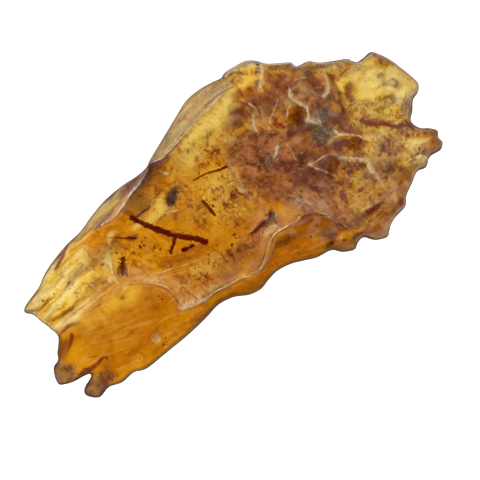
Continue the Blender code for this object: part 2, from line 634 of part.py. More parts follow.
def beetle(sheet_at, material):
    """Broad dark insect with domed wing cases, a shield behind the head and short legs."""
    place = (-5.3, 7.9, sheet_at(-5.3, 7.9), 30)
    pieces = [
        body_piece(place, (-0.5, 0, 0), (1.45, 0.98, 0.66), around=12, along=6),
        body_piece(place, (0.95, 0, -0.02), (0.58, 0.74, 0.48)),
        body_piece(place, (1.55, 0, -0.05), (0.40, 0.42, 0.34)),
    ]
    legs = six_legs(place, 1.55, (0.9, 0.2, -0.5), 0.35, 0.11)
    return fused("beetle", pieces + legs, material), (place, 0.0, 2.55, 2.15, 1.05)


def ant(sheet_at, material):
    """Small insect with a round tail, a waist, a chest and a square head."""
    place = (-8.4, -1.2, sheet_at(-8.4, -1.2), -8)
    pieces = [
        body_piece(place, (-0.75, 0, 0), (0.68, 0.48, 0.44)),
        body_piece(place, (0.12, 0, 0), (0.52, 0.26, 0.26)),
        body_piece(place, (0.82, 0, 0), (0.40, 0.36, 0.30)),
    ]
    legs = six_legs(place, 0.8, (0.4, 0.15, -0.1), 0.25, 0.08)
    return fused("ant", pieces + legs, material), (place, -0.1, 2.05, 1.45, 0.8)


def gnat(sheet_at, material):
    """Small fly: round chest, thin tail and two broad wings."""
    place = (6.9, -4.8, sheet_at(6.9, -4.8), 20)
    pieces = [
        body_piece(place, (-0.75, 0, -0.05), (0.75, 0.24, 0.22)),
        body_piece(place, (0.15, 0, 0), (0.42, 0.36, 0.34)),
        body_piece(place, (0.62, 0, -0.05), (0.26, 0.24, 0.22)),
        body_piece(place, (-0.35, 0.60, 0.16), (0.85, 0.32, 0.09), turn=-34, pitch=-4),
        body_piece(place, (-0.35, -0.60, 0.16), (0.85, 0.32, 0.09), turn=34, pitch=-4),
    ]
    legs = six_legs(place, 0.8, (0.3, 0.1, -0.1), 0.25, 0.07)
    return fused("gnat", pieces + legs, material), (place, -0.3, 1.9, 1.75, 0.75)


def plant_piece(route, half_sizes, sheet_at, grown=0.0, steps=2, sides=8):
    """Builder for a round bar that follows the sheet, thicker and longer at both ends by grown."""
    curve = smooth_route(route, steps)
    start = curve[0] + grown * (curve[0] - curve[1]) / np.linalg.norm(curve[0] - curve[1])
    end = curve[-1] + grown * (curve[-1] - curve[-2]) / np.linalg.norm(curve[-1] - curve[-2])
    curve = np.vstack([start, curve[1:-1], end])
    spine = [(x, y, sheet_at(x, y)) for x, y in curve]

    def build(bm):
        limb(bm, spine, (half_sizes[0] + grown, half_sizes[1] + grown), sides)

    return build


def pocket_round(place, middle, long, wide, high):
    """Cutter for an insect's pocket: an ellipsoid round the insect, its middle so far ahead of the
    insect's own."""
    bm = bmesh.new()
    ball(bm, in_place((middle, 0, 0), *place)[0], (long, wide, high), place[3], 0, 10, 6)
    return add_object("pocket", bm)


def pocket_along(build):
    """Cutter for a plant's pocket: the same bar, grown by the clearance."""
    bm = bmesh.new()
    build(bm)
    return add_object("pocket", bm)


def below_the_ground():
    """Cutter that leaves the flat resting spot: a slab whose top is the surface that the lump rests
    on."""
    bm = bmesh.new()
    bmesh.ops.create_cube(bm, size=1)
    bmesh.ops.scale(bm, vec=(LENGTH, WIDTH, SLAB_DEPTH), verts=bm.verts)
    bmesh.ops.translate(bm, vec=(0, 0, -SLAB_DEPTH / 2), verts=bm.verts)
    return add_object("resting_spot", bm)


def cut(half, tools):
    """Takes each cutter's shape out of one half."""
    for tool in tools:
        hollow = half.modifiers.new(tool.name, "BOOLEAN")
        hollow.operation = "DIFFERENCE"
        hollow.object = tool


def main():
    for old in list(bpy.data.objects):
        bpy.data.objects.remove(old)

    edge_curve = loop_edge(EDGE_STEPS)
    plan = plan_grid(edge_curve, EDGE_STEPS)
    top, sheet, under = lump_heights(plan, edge_curve)
    lift = settled(top)
    resin = plain_material("copal", (0.86, 0.50, 0.10), 0.08, clear=True)
    gap = PARTING_GAP / 2
    top_face = top * lift + gap * edge_only(top)
    underside = under * lift - gap
    upper = half_of_lump("copal_upper", plan, top_face, sheet * lift + gap, resin, UPPER_SHARE_KEPT)
    lower = half_of_lump("copal_lower", plan, underside, sheet * lift - gap, resin, LOWER_SHARE_KEPT)

    def sheet_at(x, y):
        point = np.array([[[x, y]]], float)
        return float(lump_heights(point, edge_curve)[1][0, 0] * lift)

    bark = plain_material("twig", (0.16, 0.035, 0.02), 0.6)
    straw = plain_material("plant_stem", (0.26, 0.08, 0.03), 0.6)
    pale_shell = plain_material("termite", (0.20, 0.09, 0.03), 0.35)
    brown_shell = plain_material("winged_ant", (0.15, 0.05, 0.03), 0.35)
    grey_shell = plain_material("beetle", (0.05, 0.045, 0.035), 0.3)
    dark_shell = plain_material("ant", (0.06, 0.02, 0.015), 0.3)
    gnat_shell = plain_material("gnat", (0.07, 0.03, 0.02), 0.35)

    plants = [(TWIG_ROUTE, TWIG_HALF), (SHOOT_ROUTE, SHOOT_HALF), (STEM_ROUTE, STEM_HALF)]
    twig, shoot, stem = [plant_piece(*plant, sheet_at) for plant in plants]
    fused("twig", [twig, shoot], bark)
    fused("plant_stem", [stem], straw)
    tools = [pocket_along(plant_piece(*plant, sheet_at, grown=POCKET_CLEARANCE)) for plant in plants]
    insects = [
        termite(sheet_at, pale_shell),
        winged_ant(sheet_at, brown_shell),
        beetle(sheet_at, grey_shell),
        ant(sheet_at, dark_shell),
        gnat(sheet_at, gnat_shell),
    ]
    for _, pocket in insects:
        tools.append(pocket_round(*pocket))
    cut(upper, tools)
    cut(lower, tools + [below_the_ground()])


def edge_only(heights):
    """1 on the edge of the grid and 0 inside it, so that a half's outer face meets its parting face."""
    mask = np.zeros(heights.shape)
    mask[[0, -1], :] = 1
    mask[:, [0, -1]] = 1
    return mask


main()
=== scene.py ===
import bpy
import numpy as np
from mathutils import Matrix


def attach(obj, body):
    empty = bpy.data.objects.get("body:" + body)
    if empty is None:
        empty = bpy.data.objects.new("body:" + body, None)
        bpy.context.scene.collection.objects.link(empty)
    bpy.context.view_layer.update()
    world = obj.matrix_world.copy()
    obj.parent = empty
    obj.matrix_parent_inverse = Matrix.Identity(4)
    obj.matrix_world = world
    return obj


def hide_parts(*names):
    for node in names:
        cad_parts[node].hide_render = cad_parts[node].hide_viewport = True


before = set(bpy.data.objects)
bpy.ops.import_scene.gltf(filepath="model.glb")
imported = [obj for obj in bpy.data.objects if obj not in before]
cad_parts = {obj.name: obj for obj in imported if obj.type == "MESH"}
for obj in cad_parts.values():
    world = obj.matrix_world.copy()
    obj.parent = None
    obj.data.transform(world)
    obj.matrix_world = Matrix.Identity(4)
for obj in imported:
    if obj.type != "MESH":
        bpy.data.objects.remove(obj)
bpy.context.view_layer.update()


# The studio: a lit white table inside a white tent, seen from straight above.
# The table glows so that the clear resin is lit from below, and the tent is open at its top, so that level
# faces mirror a dark opening and tilted ones mirror white cloth, a little brighter on the bevel's side.
MM = 0.001
VIEW_MIDDLE = (-0.348 * MM, -5.532 * MM)
VIEW_WIDTH = 86.4 * MM
VIEW_TURN = -36.0
RIM_LEVEL = 5.0 * MM
LENS = 200.0
SENSOR = 36.0
CLOTH_GLOW, OPENING_GLOW = 1.0, 0.05
OPENING = (0.55, 0.80)
SOFT_LAMPS = [((-0.02, -0.62, 0.78), 1.4), ((-0.30, 0.66, 0.69), 1.2)]
LAMP_EDGE = (0.965, 0.985)
BRIGHT_SIDE = (-0.3, 0.9, 0.3)
SIDE_GLOWS = (0.8, 0.95)
TABLE_REACH, TABLE_LEVEL, TABLE_GLOW = 1.2, -0.0001, 0.95

eye = bpy.data.cameras.new("overhead")
eye.lens = LENS
eye.sensor_width = SENSOR
eye.clip_start = 0.01
overhead = bpy.data.objects.new("overhead", eye)
overhead.location = (*VIEW_MIDDLE, RIM_LEVEL + VIEW_WIDTH * LENS / SENSOR)
overhead.rotation_euler = (0, 0, np.radians(VIEW_TURN))
bpy.context.scene.collection.objects.link(overhead)
bpy.context.scene.camera = overhead
bpy.context.scene.view_settings.view_transform = "Standard"


def add_node(tree, kind, inputs, **settings):
    """New node with its settings and inputs filled in. An input is a number, a colour or another node's
    output."""
    node = tree.nodes.new(kind)
    for name, value in settings.items():
        setattr(node, name, value)
    for name, value in inputs.items():
        if isinstance(value, bpy.types.NodeSocket):
            tree.links.new(value, node.inputs[name])
        else:
            node.inputs[name].default_value = value
    return node


def ranged(tree, value, low, high, at_low, at_high):
    """Output that goes smoothly from at_low to at_high while the value goes from low to high."""
    spans = {"Value": value, "From Min": low, "From Max": high, "To Min": at_low, "To Max": at_high}
    return add_node(tree, "ShaderNodeMapRange", spans, interpolation_type="SMOOTHSTEP").outputs["Result"]


def worked(tree, operation, first, second=0.0):
    """Output of one sum on one or two numbers."""
    return add_node(tree, "ShaderNodeMath", {0: first, 1: second}, operation=operation).outputs[0]


def product(tree, *values):
    """Output that is the product of two or more numbers."""
    result = values[0]
    for value in values[1:]:
        result = worked(tree, "MULTIPLY", result, value)
    return result


tent = bpy.data.worlds.new("tent")
tent.use_nodes = True
bpy.context.scene.world = tent
cloth = tent.node_tree
looking = add_node(cloth, "ShaderNodeTexCoord", {}).outputs["Generated"]


def facing(direction):
    """Output of how nearly the tent is looked at in a direction."""
    pair = {0: looking, 1: direction}
    return add_node(cloth, "ShaderNodeVectorMath", pair, operation="DOT_PRODUCT").outputs["Value"]


glow = ranged(cloth, facing((0, 0, 1)), *OPENING, CLOTH_GLOW, OPENING_GLOW)
for direction, brightness in SOFT_LAMPS:
    glow = worked(cloth, "ADD", glow, ranged(cloth, facing(direction), *LAMP_EDGE, 0.0, brightness))
glow = product(cloth, glow, ranged(cloth, facing(BRIGHT_SIDE), -0.8, 0.8, *SIDE_GLOWS))
cloth.links.new(glow, cloth.nodes["Background"].inputs["Color"])

table_mesh = bpy.data.meshes.new("table")
corners = [(x * TABLE_REACH, y * TABLE_REACH, TABLE_LEVEL) for x, y in ((-1, -1), (1, -1), (1, 1), (-1, 1))]
table_mesh.from_pydata(corners, [], [(0, 1, 2, 3)])
table = bpy.data.objects.new("table", table_mesh)
bpy.context.scene.collection.objects.link(table)
opal = bpy.data.materials.new("lit_opal_table")
opal.use_nodes = True
opal_shader = opal.node_tree.nodes["Principled BSDF"]
opal_shader.inputs["Base Color"].default_value = (0.9, 0.9, 0.9, 1)
opal_shader.inputs["Roughness"].default_value = 0.9
opal_shader.inputs["Specular IOR Level"].default_value = 0.1
opal_shader.inputs["Emission Color"].default_value = (1, 1, 1, 1)
opal_shader.inputs["Emission Strength"].default_value = TABLE_GLOW
table_mesh.materials.append(opal)


# The lump: one piece of clear yellow-orange copal, hardened tree resin.
# It grew as flows of resin ran over each other, was broken along one side into a long bevel and at one
# end into two low lobes, and weathered to a dull lumpy crust on the rest. All sizes are in millimetres.
LENGTH, WIDTH, HEIGHT = 84.14, 41.28, 18.0
EDGE_STEPS = 8
SKETCH_COLUMNS, SKETCH_ROWS = 128, 60
COLUMNS, ROWS = 384, 200
LAND_BLEND = 5.5
BEVEL_SLOPE = 0.85
SCAR_DROP, SCAR_LIP, SCAR_LIP_WIDTH = 2.3, 0.39, 1.9
TOP_EDGE_WIDTH, TOP_EDGE_NARROWING = 0.9, 0.4
UNDERSIDE_SLANT = 7.0
FLAKE_DEPTH, FLAKE_WIDTH = 1.1, 6.0
SHEET_SHARE = 0.58

# Outline from above, point by point round the lump
LONG_BEVEL_EDGE = [
    (-39.2, 6.6), (-38.6, 7.5), (-37.0, 8.1), (-34.5, 8.9), (-32.2, 10.2), (-29.5, 11.2), (-26.0, 12.1),
    (-22.5, 12.6), (-19.5, 13.6), (-16.0, 14.5), (-12.0, 14.8), (-8.5, 14.6), (-6.3, 14.8), (-4.8, 15.6),
    (-2.0, 16.8), (1.0, 18.1), (4.0, 19.4), (6.5, 20.4), (9.5, 20.6), (12.0, 20.3), (13.9, 19.9),
]
SHOULDER_EDGE = [
    (14.9, 20.3), (16.8, 20.2), (19.2, 19.8), (20.8, 18.7), (22.0, 17.2), (24.2, 15.8), (25.7, 14.8),
    (26.1, 13.7), (28.3, 13.2), (29.8, 11.8), (32.0, 10.6), (34.2, 9.4), (34.9, 8.1), (36.5, 7.9),
]
KNOB_END = [
    (38.2, 8.0), (39.1, 7.0), (40.2, 5.0), (41.0, 2.5), (41.8, -0.3), (42.0, -1.7), (41.0, -2.8),
    (39.5, -3.4), (38.2, -5.0), (37.0, -6.2), (37.5, -8.0), (39.0, -9.2), (39.9, -10.4), (39.3, -11.4),
    (39.4, -12.6),
]
LUMPY_EDGE = [
    (38.3, -13.5), (36.0, -13.4), (34.3, -14.5), (32.6, -14.2), (30.5, -15.4), (28.4, -16.6),
    (27.2, -18.0), (24.5, -18.6), (22.8, -19.4), (21.5, -20.5), (19.3, -19.7), (17.9, -18.1),
    (16.5, -18.3), (15.3, -18.9), (13.3, -18.0), (11.9, -16.6), (9.0, -16.1), (6.8, -15.2), (4.5, -14.3),
    (1.8, -13.9), (-0.5, -14.3), (-2.5, -14.8), (-4.8, -14.4), (-7.3, -13.1), (-10.3, -12.6),
    (-13.5, -13.2), (-18.0, -13.8), (-23.0, -14.1), (-27.5, -14.3), (-29.8, -13.5), (-32.5, -13.7),
    (-35.0, -13.0),
]
TOES_AND_LEFT_END = [
    (-37.2, -13.5), (-38.6, -12.6), (-39.2, -11.4), (-38.4, -10.4), (-36.9, -9.8), (-36.2, -9.2),
    (-37.2, -8.8), (-39.5, -8.5), (-41.2, -7.9), (-42.0, -7.2), (-41.7, -5.6), (-40.8, -4.2),
    (-39.5, -3.7), (-38.9, -2.6), (-37.6, -1.2), (-36.9, 0.0), (-37.3, 1.8), (-37.8, 3.6), (-38.3, 5.4),
]
# Broad land: place, height of the top and height of the underside
LAND = [
    (-38, 6, 9.4, 3.0), (-29, 6, 11.4, 1.4), (-41, -6, 7.8, 3.2), (-38, -12, 7.4, 3.0),
    (-31, -7, 10.2, 1.2), (-22, -9, 11.2, 0.4), (-18, 5, 12.8, 0.2), (-9, 4, 14.0, -0.8),
    (-8, -7, 13.4, -0.6), (2, 9, 15.2, -0.2), (2, -4, 15.0, -1.2), (7, 17, 13.6, 1.2),
    (9, -13, 12.4, 0.8), (13, 4, 16.8, -1.0), (20, -6, 16.2, -0.6), (19, 14, 14.4, 1.4),
    (22, -17, 10.6, 2.4), (24, 3, 17.2, 0.2), (31, -8, 13.0, 1.8), (36, 2, 13.2, 3.0), (38, -11, 9.4, 4.0),
    (31, 9, 12.8, 2.6),
]
# Ridge of the bevel and lip of the long scar, each with the corners that close round its far side
BEVEL_LINE = [
    (-38.8, 6.9), (-34.0, 7.7), (-30.0, 9.7), (-26.0, 10.7), (-20.0, 10.8), (-16.2, 10.9), (-13.7, 11.3),
    (-10.7, 12.4), (-7.9, 13.5), (-6.1, 14.5), (-4.4, 14.4), (-2.9, 14.1), (-0.1, 14.9), (3.8, 15.8),
    (6.0, 16.1), (8.8, 16.8), (11.6, 17.1), (14.4, 17.3),
]
BEVEL_BEYOND = [(14.6, 26.0), (-46.0, 26.0), (-46.0, 6.9)]
SCAR_LINE = [
    (-36.5, -0.3), (-30.0, 0.3), (-24.0, 0.7), (-22.3, 0.4), (-20.2, -0.6), (-18.0, -2.5), (-16.4, -4.4),
    (-15.7, -6.3), (-15.8, -8.0), (-16.3, -9.4), (-13.5, -10.2), (-10.0, -10.6), (-6.0, -11.0),
    (-2.5, -11.7), (-0.4, -12.1), (1.8, -11.2), (3.5, -9.8), (5.2, -8.5), (7.5, -8.7), (9.5, -8.8),
    (11.5, -8.9), (13.2, -9.7), (14.8, -11.2), (15.8, -13.2), (16.3, -15.5),
]
SCAR_BEYOND = [(16.0, -26.0), (-46.0, -26.0), (-46.0, -0.3)]
# Banks: height, half width, route
RIBS = [
    (0.3, 0.9, [(-38.6, 6.6), (-33.0, 6.7), (-27.0, 7.3)]),
    (1.0, 0.9, [(-37.4, 3.8), (-33.0, 4.7), (-29.0, 5.5), (-25.5, 6.2)]),
    (0.9, 1.0, [(-37.0, 1.1), (-31.0, 1.2), (-24.0, 1.2)]),
]
CRUST_RIDGES = [
    (1.1, 0.7, [(22.2, 10.8), (21.9, 9.2), (22.5, 7.2), (21.8, 4.4), (22.6, 3.2), (24.0, 2.4),
                (25.2, 0.8), (25.0, -0.6), (26.0, -1.8), (27.4, -3.0)]),
    (0.9, 0.6, [(18.8, 6.6), (19.6, 7.8), (20.8, 8.4), (21.9, 7.4)]),
    (1.1, 0.7, [(17.2, -1.9), (20.8, -2.5), (21.8, -3.4), (22.2, -4.5), (23.6, -5.5), (25.2, -6.6),
                (25.7, -8.4), (25.9, -10.6)]),
    (0.8, 0.6, [(11.6, 2.0), (13.8, 3.2), (15.6, 4.0), (17.4, 3.2)]),
    (0.8, 0.7, [(29.2, 9.0), (28.4, 7.2), (27.2, 6.4), (25.6, 6.6)]),
    (0.8, 0.7, [(18.4, 14.2), (19.4, 15.6), (20.5, 16.8), (20.8, 17.8)]),
    (0.5, 0.4, [(6.2, 6.2), (5.8, 4.4), (5.8, 2.6), (6.1, -0.6), (6.4, -2.2)]),
    (0.8, 0.7, [(11.0, -4.4), (12.4, -5.4), (13.6, -7.2), (15.4, -7.6)]),
]
GROOVES = [
    (0.8, 0.7, [(-38.2, 5.1), (-34.0, 5.2), (-30.0, 6.2)]),
    (0.8, 0.8, [(-37.4, 2.5), (-33.0, 2.7), (-27.0, 3.4)]),
    (0.9, 1.0, [(29.9, 8.6), (29.6, 6.0), (29.0, 3.4), (28.2, 1.6), (28.7, -0.4), (30.0, -1.8),
                (31.8, -3.6), (33.4, -5.0), (35.2, -6.3), (37.0, -7.2)]),
]
# Humps: place, half length, half width, turn in degrees, height
PITS = [
    (20.3, 6.4, 1.5, 1.3, 0, 1.8), (24.6, -2.9, 1.9, 1.2, -10, 1.6), (15.0, 11.6, 2.0, 1.0, 75, 1.3),
    (26.4, 4.9, 1.8, 1.4, 20, 1.1), (20.6, -5.0, 1.9, 1.1, 50, 1.3), (17.6, 5.0, 1.6, 1.0, -30, 1.0),
    (26.2, 9.4, 1.9, 1.3, 80, 0.9), (29.4, -11.6, 1.7, 1.1, 40, 1.2), (22.0, -15.6, 2.2, 0.9, 0, 1.0),
    (12.4, -14.6, 1.5, 1.0, -40, 0.8), (37.8, -4.2, 1.8, 1.3, 45, 1.0), (33.0, -8.4, 1.6, 1.0, 0, 0.9),
]
LUMPS = [
    (37.6, 0.2, 3.6, 2.6, 100, 1.2), (33.6, 4.6, 2.6, 2.2, 30, 0.8), (37.0, 6.2, 2.0, 1.6, 0, 0.6),
    (36.4, -11.0, 2.4, 1.8, 0, 0.4), (25.0, -13.0, 3.0, 2.2, 30, 1.0), (20.6, -18.2, 2.4, 1.6, 0, 1.0),
    (17.6, 18.2, 2.6, 1.6, -10, 0.9), (29.0, -5.0, 2.2, 1.8, 0, 0.8), (-39.2, -5.8, 2.0, 1.5, 30, 0.7),
    (-36.6, -11.6, 2.0, 1.4, 10, 0.6), (24.8, 13.2, 2.2, 1.4, -30, 0.7), (14.6, -17.0, 2.0, 1.4, -20, 0.9),
]
UNDERSIDE_SCARS = [
    (-25.0, -8.0, 9.0, 4.0, 8, 1.8), (-22.0, 8.0, 10.0, 3.2, 10, 1.6), (28.0, 6.0, 6.0, 4.0, -30, 1.6),
    (26.0, -12.0, 5.0, 4.0, 20, 1.4), (8.0, 14.5, 9.0, 3.0, 12, 1.6), (4.0, -11.5, 6.0, 2.4, -8, 1.2),
    (-35.0, -1.0, 3.0, 2.6, 90, 1.0),
]
# Step where a flake came off the underside, and the underside's own ridges
FLAKE_LINE = [
    (-20.0, -20.0), (-17.0, -12.0), (-19.5, -6.0), (-17.5, -1.0), (-20.5, 4.0), (-18.0, 9.0), (-21.0, 20.0),
]
FLAKE_BEYOND = [(-46.0, 20.0), (-46.0, -20.0)]
UNDERSIDE_RIDGES = [
    (0.9, 0.9, [(20.0, 15.0), (22.5, 10.0), (21.0, 5.0), (24.5, 1.0), (29.0, -1.0), (37.0, 1.0)]),
    (0.8, 0.9, [(24.5, 1.0), (23.0, -5.0), (27.0, -10.0), (25.5, -17.0)]),
    (0.7, 0.8, [(27.0, -10.0), (32.0, -11.0), (38.0, -9.5)]),
]


def smooth_route(points, steps, closed=False):
    """Smooth curve through points of any dimension: in each span the cubic whose slope at a point is half
    the step from the point before it to the one after it."""
    route = np.array(points, float)
    before, after, beyond = (np.roll(route, shift, axis=0) for shift in (1, -1, -2))
    if not closed:
        before[0] = 2 * route[0] - route[1]
        after[-1] = route[-1]
        beyond[-2] = 2 * route[-1] - route[-2]
        before, after, beyond = before[:-1], after[:-1], beyond[:-1]
    t = (np.arange(steps) / steps)[None, :, None]
    b, r, a, f = before[:, None], route[: len(before), None], after[:, None], beyond[:, None]
    curve = r + t * (a - b) / 2 + t**2 * (b - 2.5 * r + 2 * a - f / 2) + t**3 * (1.5 * (r - a) + (f - b) / 2)
    curve = curve.reshape(-1, route.shape[1])
    return curve if closed else np.vstack([curve, route[-1:]])


def edge_of_lump():
    """Outline from above, brought to the named length and width about the origin."""
    outline = LONG_BEVEL_EDGE + SHOULDER_EDGE + KNOB_END + LUMPY_EDGE + TOES_AND_LEFT_END
    curve = smooth_route(outline, EDGE_STEPS, True)
    low, high = curve.min(axis=0), curve.max(axis=0)
    return (curve - (low + high) / 2) * np.array([LENGTH, WIDTH]) / (high - low)


def spread(side, count):
    """Points along one side of the outline, spaced by 0.6 of travelled length plus 0.4 of straight
    progress."""
    travelled = np.concatenate([[0], np.cumsum(np.linalg.norm(np.diff(side, axis=0), axis=1))])
    chord = (side - side[0]) @ (side[-1] - side[0])
    progress = 0.6 * travelled / travelled[-1] + 0.4 * np.maximum.accumulate(chord) / chord[-1]
    wanted = np.linspace(0, 1, count + 1)
    return np.stack([np.interp(wanted, progress, side[:, axis]) for axis in (0, 1)], axis=1)


def plan_of_lump(edge, columns, rows):
    """Grid of plan points. It is mixed from the four sides of the outline, relaxed until its lines run
    evenly (each point goes to the mean of its neighbours, weighted by the cell's shape), and then read at
    more places, closer together towards the outline, with a cubic between its points."""
    side_lengths = [len(LONG_BEVEL_EDGE) + len(SHOULDER_EDGE), len(KNOB_END), len(LUMPY_EDGE)]
    ends = np.cumsum(side_lengths) * EDGE_STEPS
    ring = np.vstack([edge, edge[:1]])
    upper = spread(ring[: ends[0] + 1], SKETCH_COLUMNS)[:, None]
    lower = spread(ring[ends[1] : ends[2] + 1][::-1], SKETCH_COLUMNS)[:, None]
    right = spread(ring[ends[0] : ends[1] + 1][::-1], SKETCH_ROWS)[None]
    left = spread(ring[ends[2] :], SKETCH_ROWS)[None]
    u = np.linspace(0, 1, SKETCH_COLUMNS + 1)[:, None, None]
    v = np.linspace(0, 1, SKETCH_ROWS + 1)[None, :, None]
    left_corners = (1 - v) * lower[0, 0] + v * upper[0, 0]
    right_corners = (1 - v) * lower[-1, 0] + v * upper[-1, 0]
    plan = (1 - v) * lower + v * upper + (1 - u) * left + u * right
    plan = plan - ((1 - u) * left_corners + u * right_corners)
    for _ in range(600):
        east, west, north, south = plan[2:, 1:-1], plan[:-2, 1:-1], plan[1:-1, 2:], plan[1:-1, :-2]
        along, across = (east - west) / 2, (north - south) / 2
        a = (across**2).sum(axis=-1, keepdims=True)
        b = (along * across).sum(axis=-1, keepdims=True)
        c = (along**2).sum(axis=-1, keepdims=True)
        twist = (plan[2:, 2:] - plan[:-2, 2:] - plan[2:, :-2] + plan[:-2, :-2]) / 4
        target = (a * (east + west) + c * (north + south) - 2 * b * twist) / (2 * (a + c))
        plan[1:-1, 1:-1] += 0.9 * (target - plan[1:-1, 1:-1])
    for count in (columns, rows):
        even = np.linspace(0, 1, count + 1)
        place = (0.62 * even + 0.38 * (1 - np.cos(np.pi * even)) / 2) * (len(plan) - 1)
        whole = np.minimum(place.astype(int), len(plan) - 2)
        padded = np.concatenate([2 * plan[:1] - plan[1:2], plan, 2 * plan[-1:] - plan[-2:-1]])
        t = (place - whole)[:, None, None]
        b, r, a, f = (padded[whole + step] for step in range(4))
        plan = r + t * (a - b) / 2 + t**2 * (b - 2.5 * r + 2 * a - f / 2)
        plan = (plan + t**3 * (1.5 * (r - a) + (f - b) / 2)).transpose(1, 0, 2)
    return plan


def distance_to(plan, route):
    """Shortest distance from each plan point to the straight runs of a route."""
    nearest = np.full(plan.shape[:-1], np.inf)
    for start, run in zip(route[:-1], np.diff(route, axis=0)):
        share = np.clip(((plan - start) @ run) / (run @ run), 0, 1)
        nearest = np.minimum(nearest, np.linalg.norm(plan - start - share[..., None] * run, axis=-1))
    return nearest


def beyond_line(plan, line, corners):
    """Distance past a line, positive on the side that the corners close round: where a ray to the right
    crosses the closed ring an odd number of times."""
    route = smooth_route(line, 6)
    ring = np.vstack([route, corners])
    x, y = plan[..., 0], plan[..., 1]
    odd = np.zeros(x.shape, bool)
    for (x0, y0), (x1, y1) in zip(ring, np.roll(ring, -1, axis=0)):
        if y0 != y1:
            odd ^= ((y0 > y) != (y1 > y)) & (x < (x1 - x0) * (y - y0) / (y1 - y0) + x0)
    return distance_to(plan, route) * np.where(odd, 1, -1)


def soft_step(value):
    """Goes smoothly from 0 at 0 to 1 at 1."""
    share = np.clip(value, 0, 1)
    return share * share * (3 - 2 * share)


def hump(plan, x, y, long, wide, turn, height):
    """A bell over a turned ellipse."""
    angle = np.radians(turn)
    dx, dy = plan[..., 0] - x, plan[..., 1] - y
    along = (dx * np.cos(angle) + dy * np.sin(angle)) / long
    across = (dy * np.cos(angle) - dx * np.sin(angle)) / wide
    return height * np.exp(-(along**2) - across**2)


def bank(plan, height, half_width, route):
    """A bell-shaped bank along a smooth route."""
    return height * np.exp(-((distance_to(plan, smooth_route(route, 4)) / half_width) ** 2))


def ripple(plan, length, seed):
    """Gentle swells about as long as the given length: the mean of five plane waves with fixed
    directions."""
    rng = np.random.default_rng(seed)
    spans = ((0, 2 * np.pi), (0, 2 * np.pi), (0.7, 1.4))
    angles, phases, stretch = (rng.uniform(*span, 5) for span in spans)
    along = plan[..., :1] * np.cos(angles) + plan[..., 1:] * np.sin(angles)
    return np.sin(along * 2 * np.pi * stretch / length + phases).mean(axis=-1)


def mottle(plan, size, seed):
    """Uneven field from -1 to 1: random numbers on a square lattice of the given size, blended smoothly."""
    table = np.random.default_rng(seed).uniform(-1, 1, (61, 61))
    scaled = plan / size
    cell = np.floor(scaled).astype(int)
    s, t = np.moveaxis(soft_step(scaled - cell), -1, 0)
    i, j = cell[..., 0] % 61, cell[..., 1] % 61
    k, m = (i + 1) % 61, (j + 1) % 61
    return (1 - s) * ((1 - t) * table[i, j] + t * table[i, m]) + s * ((1 - t) * table[k, j] + t * table[k, m])


def lump_heights(plan, edge):
    """Heights at each plan point of the top, the underside and the sheet between the flows, and how far it
    is past the bevel's ridge, past the scar and in from the outline. Broad heights are bell-weighted means
    of the land; the top loses the bevel and the scar and gains its ridges, pits and lumps; both faces come
    down to the rim, the top along a quarter of an ellipse and the underside along a nearly straight
    slant."""
    to_edge = distance_to(plan, np.vstack([edge, edge[:1]]))
    x, y, tops, unders = np.array(LAND, float).T
    square = (plan[..., :1] - x) ** 2 + (plan[..., 1:] - y) ** 2
    weight = np.exp(-square / (2 * LAND_BLEND**2)) + 1e-9
    broad_top, broad_under = ((weight @ heights) / weight.sum(axis=-1) for heights in (tops, unders))
    rim_share = 0.30 + 0.10 * ripple(plan, 30, 44)
    rim = rim_share * broad_top + (1 - rim_share) * broad_under
    past_bevel = beyond_line(plan, BEVEL_LINE, BEVEL_BEYOND)
    past_scar = beyond_line(plan, SCAR_LINE, SCAR_BEYOND)
    drop = SCAR_DROP * (0.45 + 0.55 * soft_step((plan[..., 0] + 27) / 6))
    lip = SCAR_LIP * np.exp(-((np.minimum(past_scar, 0) / SCAR_LIP_WIDTH) ** 2))
    crust = soft_step((plan[..., 0] - 6) / 8) * (1 - 0.7 * soft_step(past_scar))
    ridge = 0.4 * soft_step((plan[..., 0] + 22) / 6) * np.exp(-((past_bevel / 0.5) ** 2))
    top = broad_top - BEVEL_SLOPE * np.maximum(past_bevel, 0) + ridge
    top = top - drop * (soft_step(past_scar / 0.6 + 0.5) + lip)
    banks, grooves = (sum(bank(plan, *line) for line in group) for group in (RIBS + CRUST_RIDGES, GROOVES))
    lumps, pits = (sum(hump(plan, *spot) for spot in group) for group in (LUMPS, PITS))
    crust_swells = 0.45 * ripple(plan, 5.2, 8) + 0.25 * ripple(plan, 2.9, 21)
    top = top + banks - grooves + lumps - pits + 0.25 * ripple(plan, 11, 3) + crust * crust_swells
    under = broad_under + 0.35 * ripple(plan, 9, 12) + sum(hump(plan, *scar) for scar in UNDERSIDE_SCARS)
    under = under + FLAKE_DEPTH * soft_step(beyond_line(plan, FLAKE_LINE, FLAKE_BEYOND) / FLAKE_WIDTH + 0.5)
    under = np.maximum(under - sum(bank(plan, *line) for line in UNDERSIDE_RIDGES), -1.2)
    edge_width = TOP_EDGE_WIDTH - TOP_EDGE_NARROWING * soft_step(np.maximum(past_bevel, past_scar) + 1)
    near_top, near_under = np.clip(to_edge / edge_width, 0, 1), np.clip(to_edge / UNDERSIDE_SLANT, 0, 1)
    top = rim + (top - rim) * np.sqrt(near_top * (2 - near_top))
    under = rim - (rim - under) * (1 - (1 - near_under) ** 1.3)
    lowered = broad_top - drop * soft_step((past_scar + 5) / 6)
    sheet = rim + SHEET_SHARE * (lowered - rim) * soft_step(to_edge / UNDERSIDE_SLANT)
    sheet = np.minimum(sheet, rim + 0.75 * (top - rim))
    return top, under, sheet, past_bevel, past_scar, to_edge


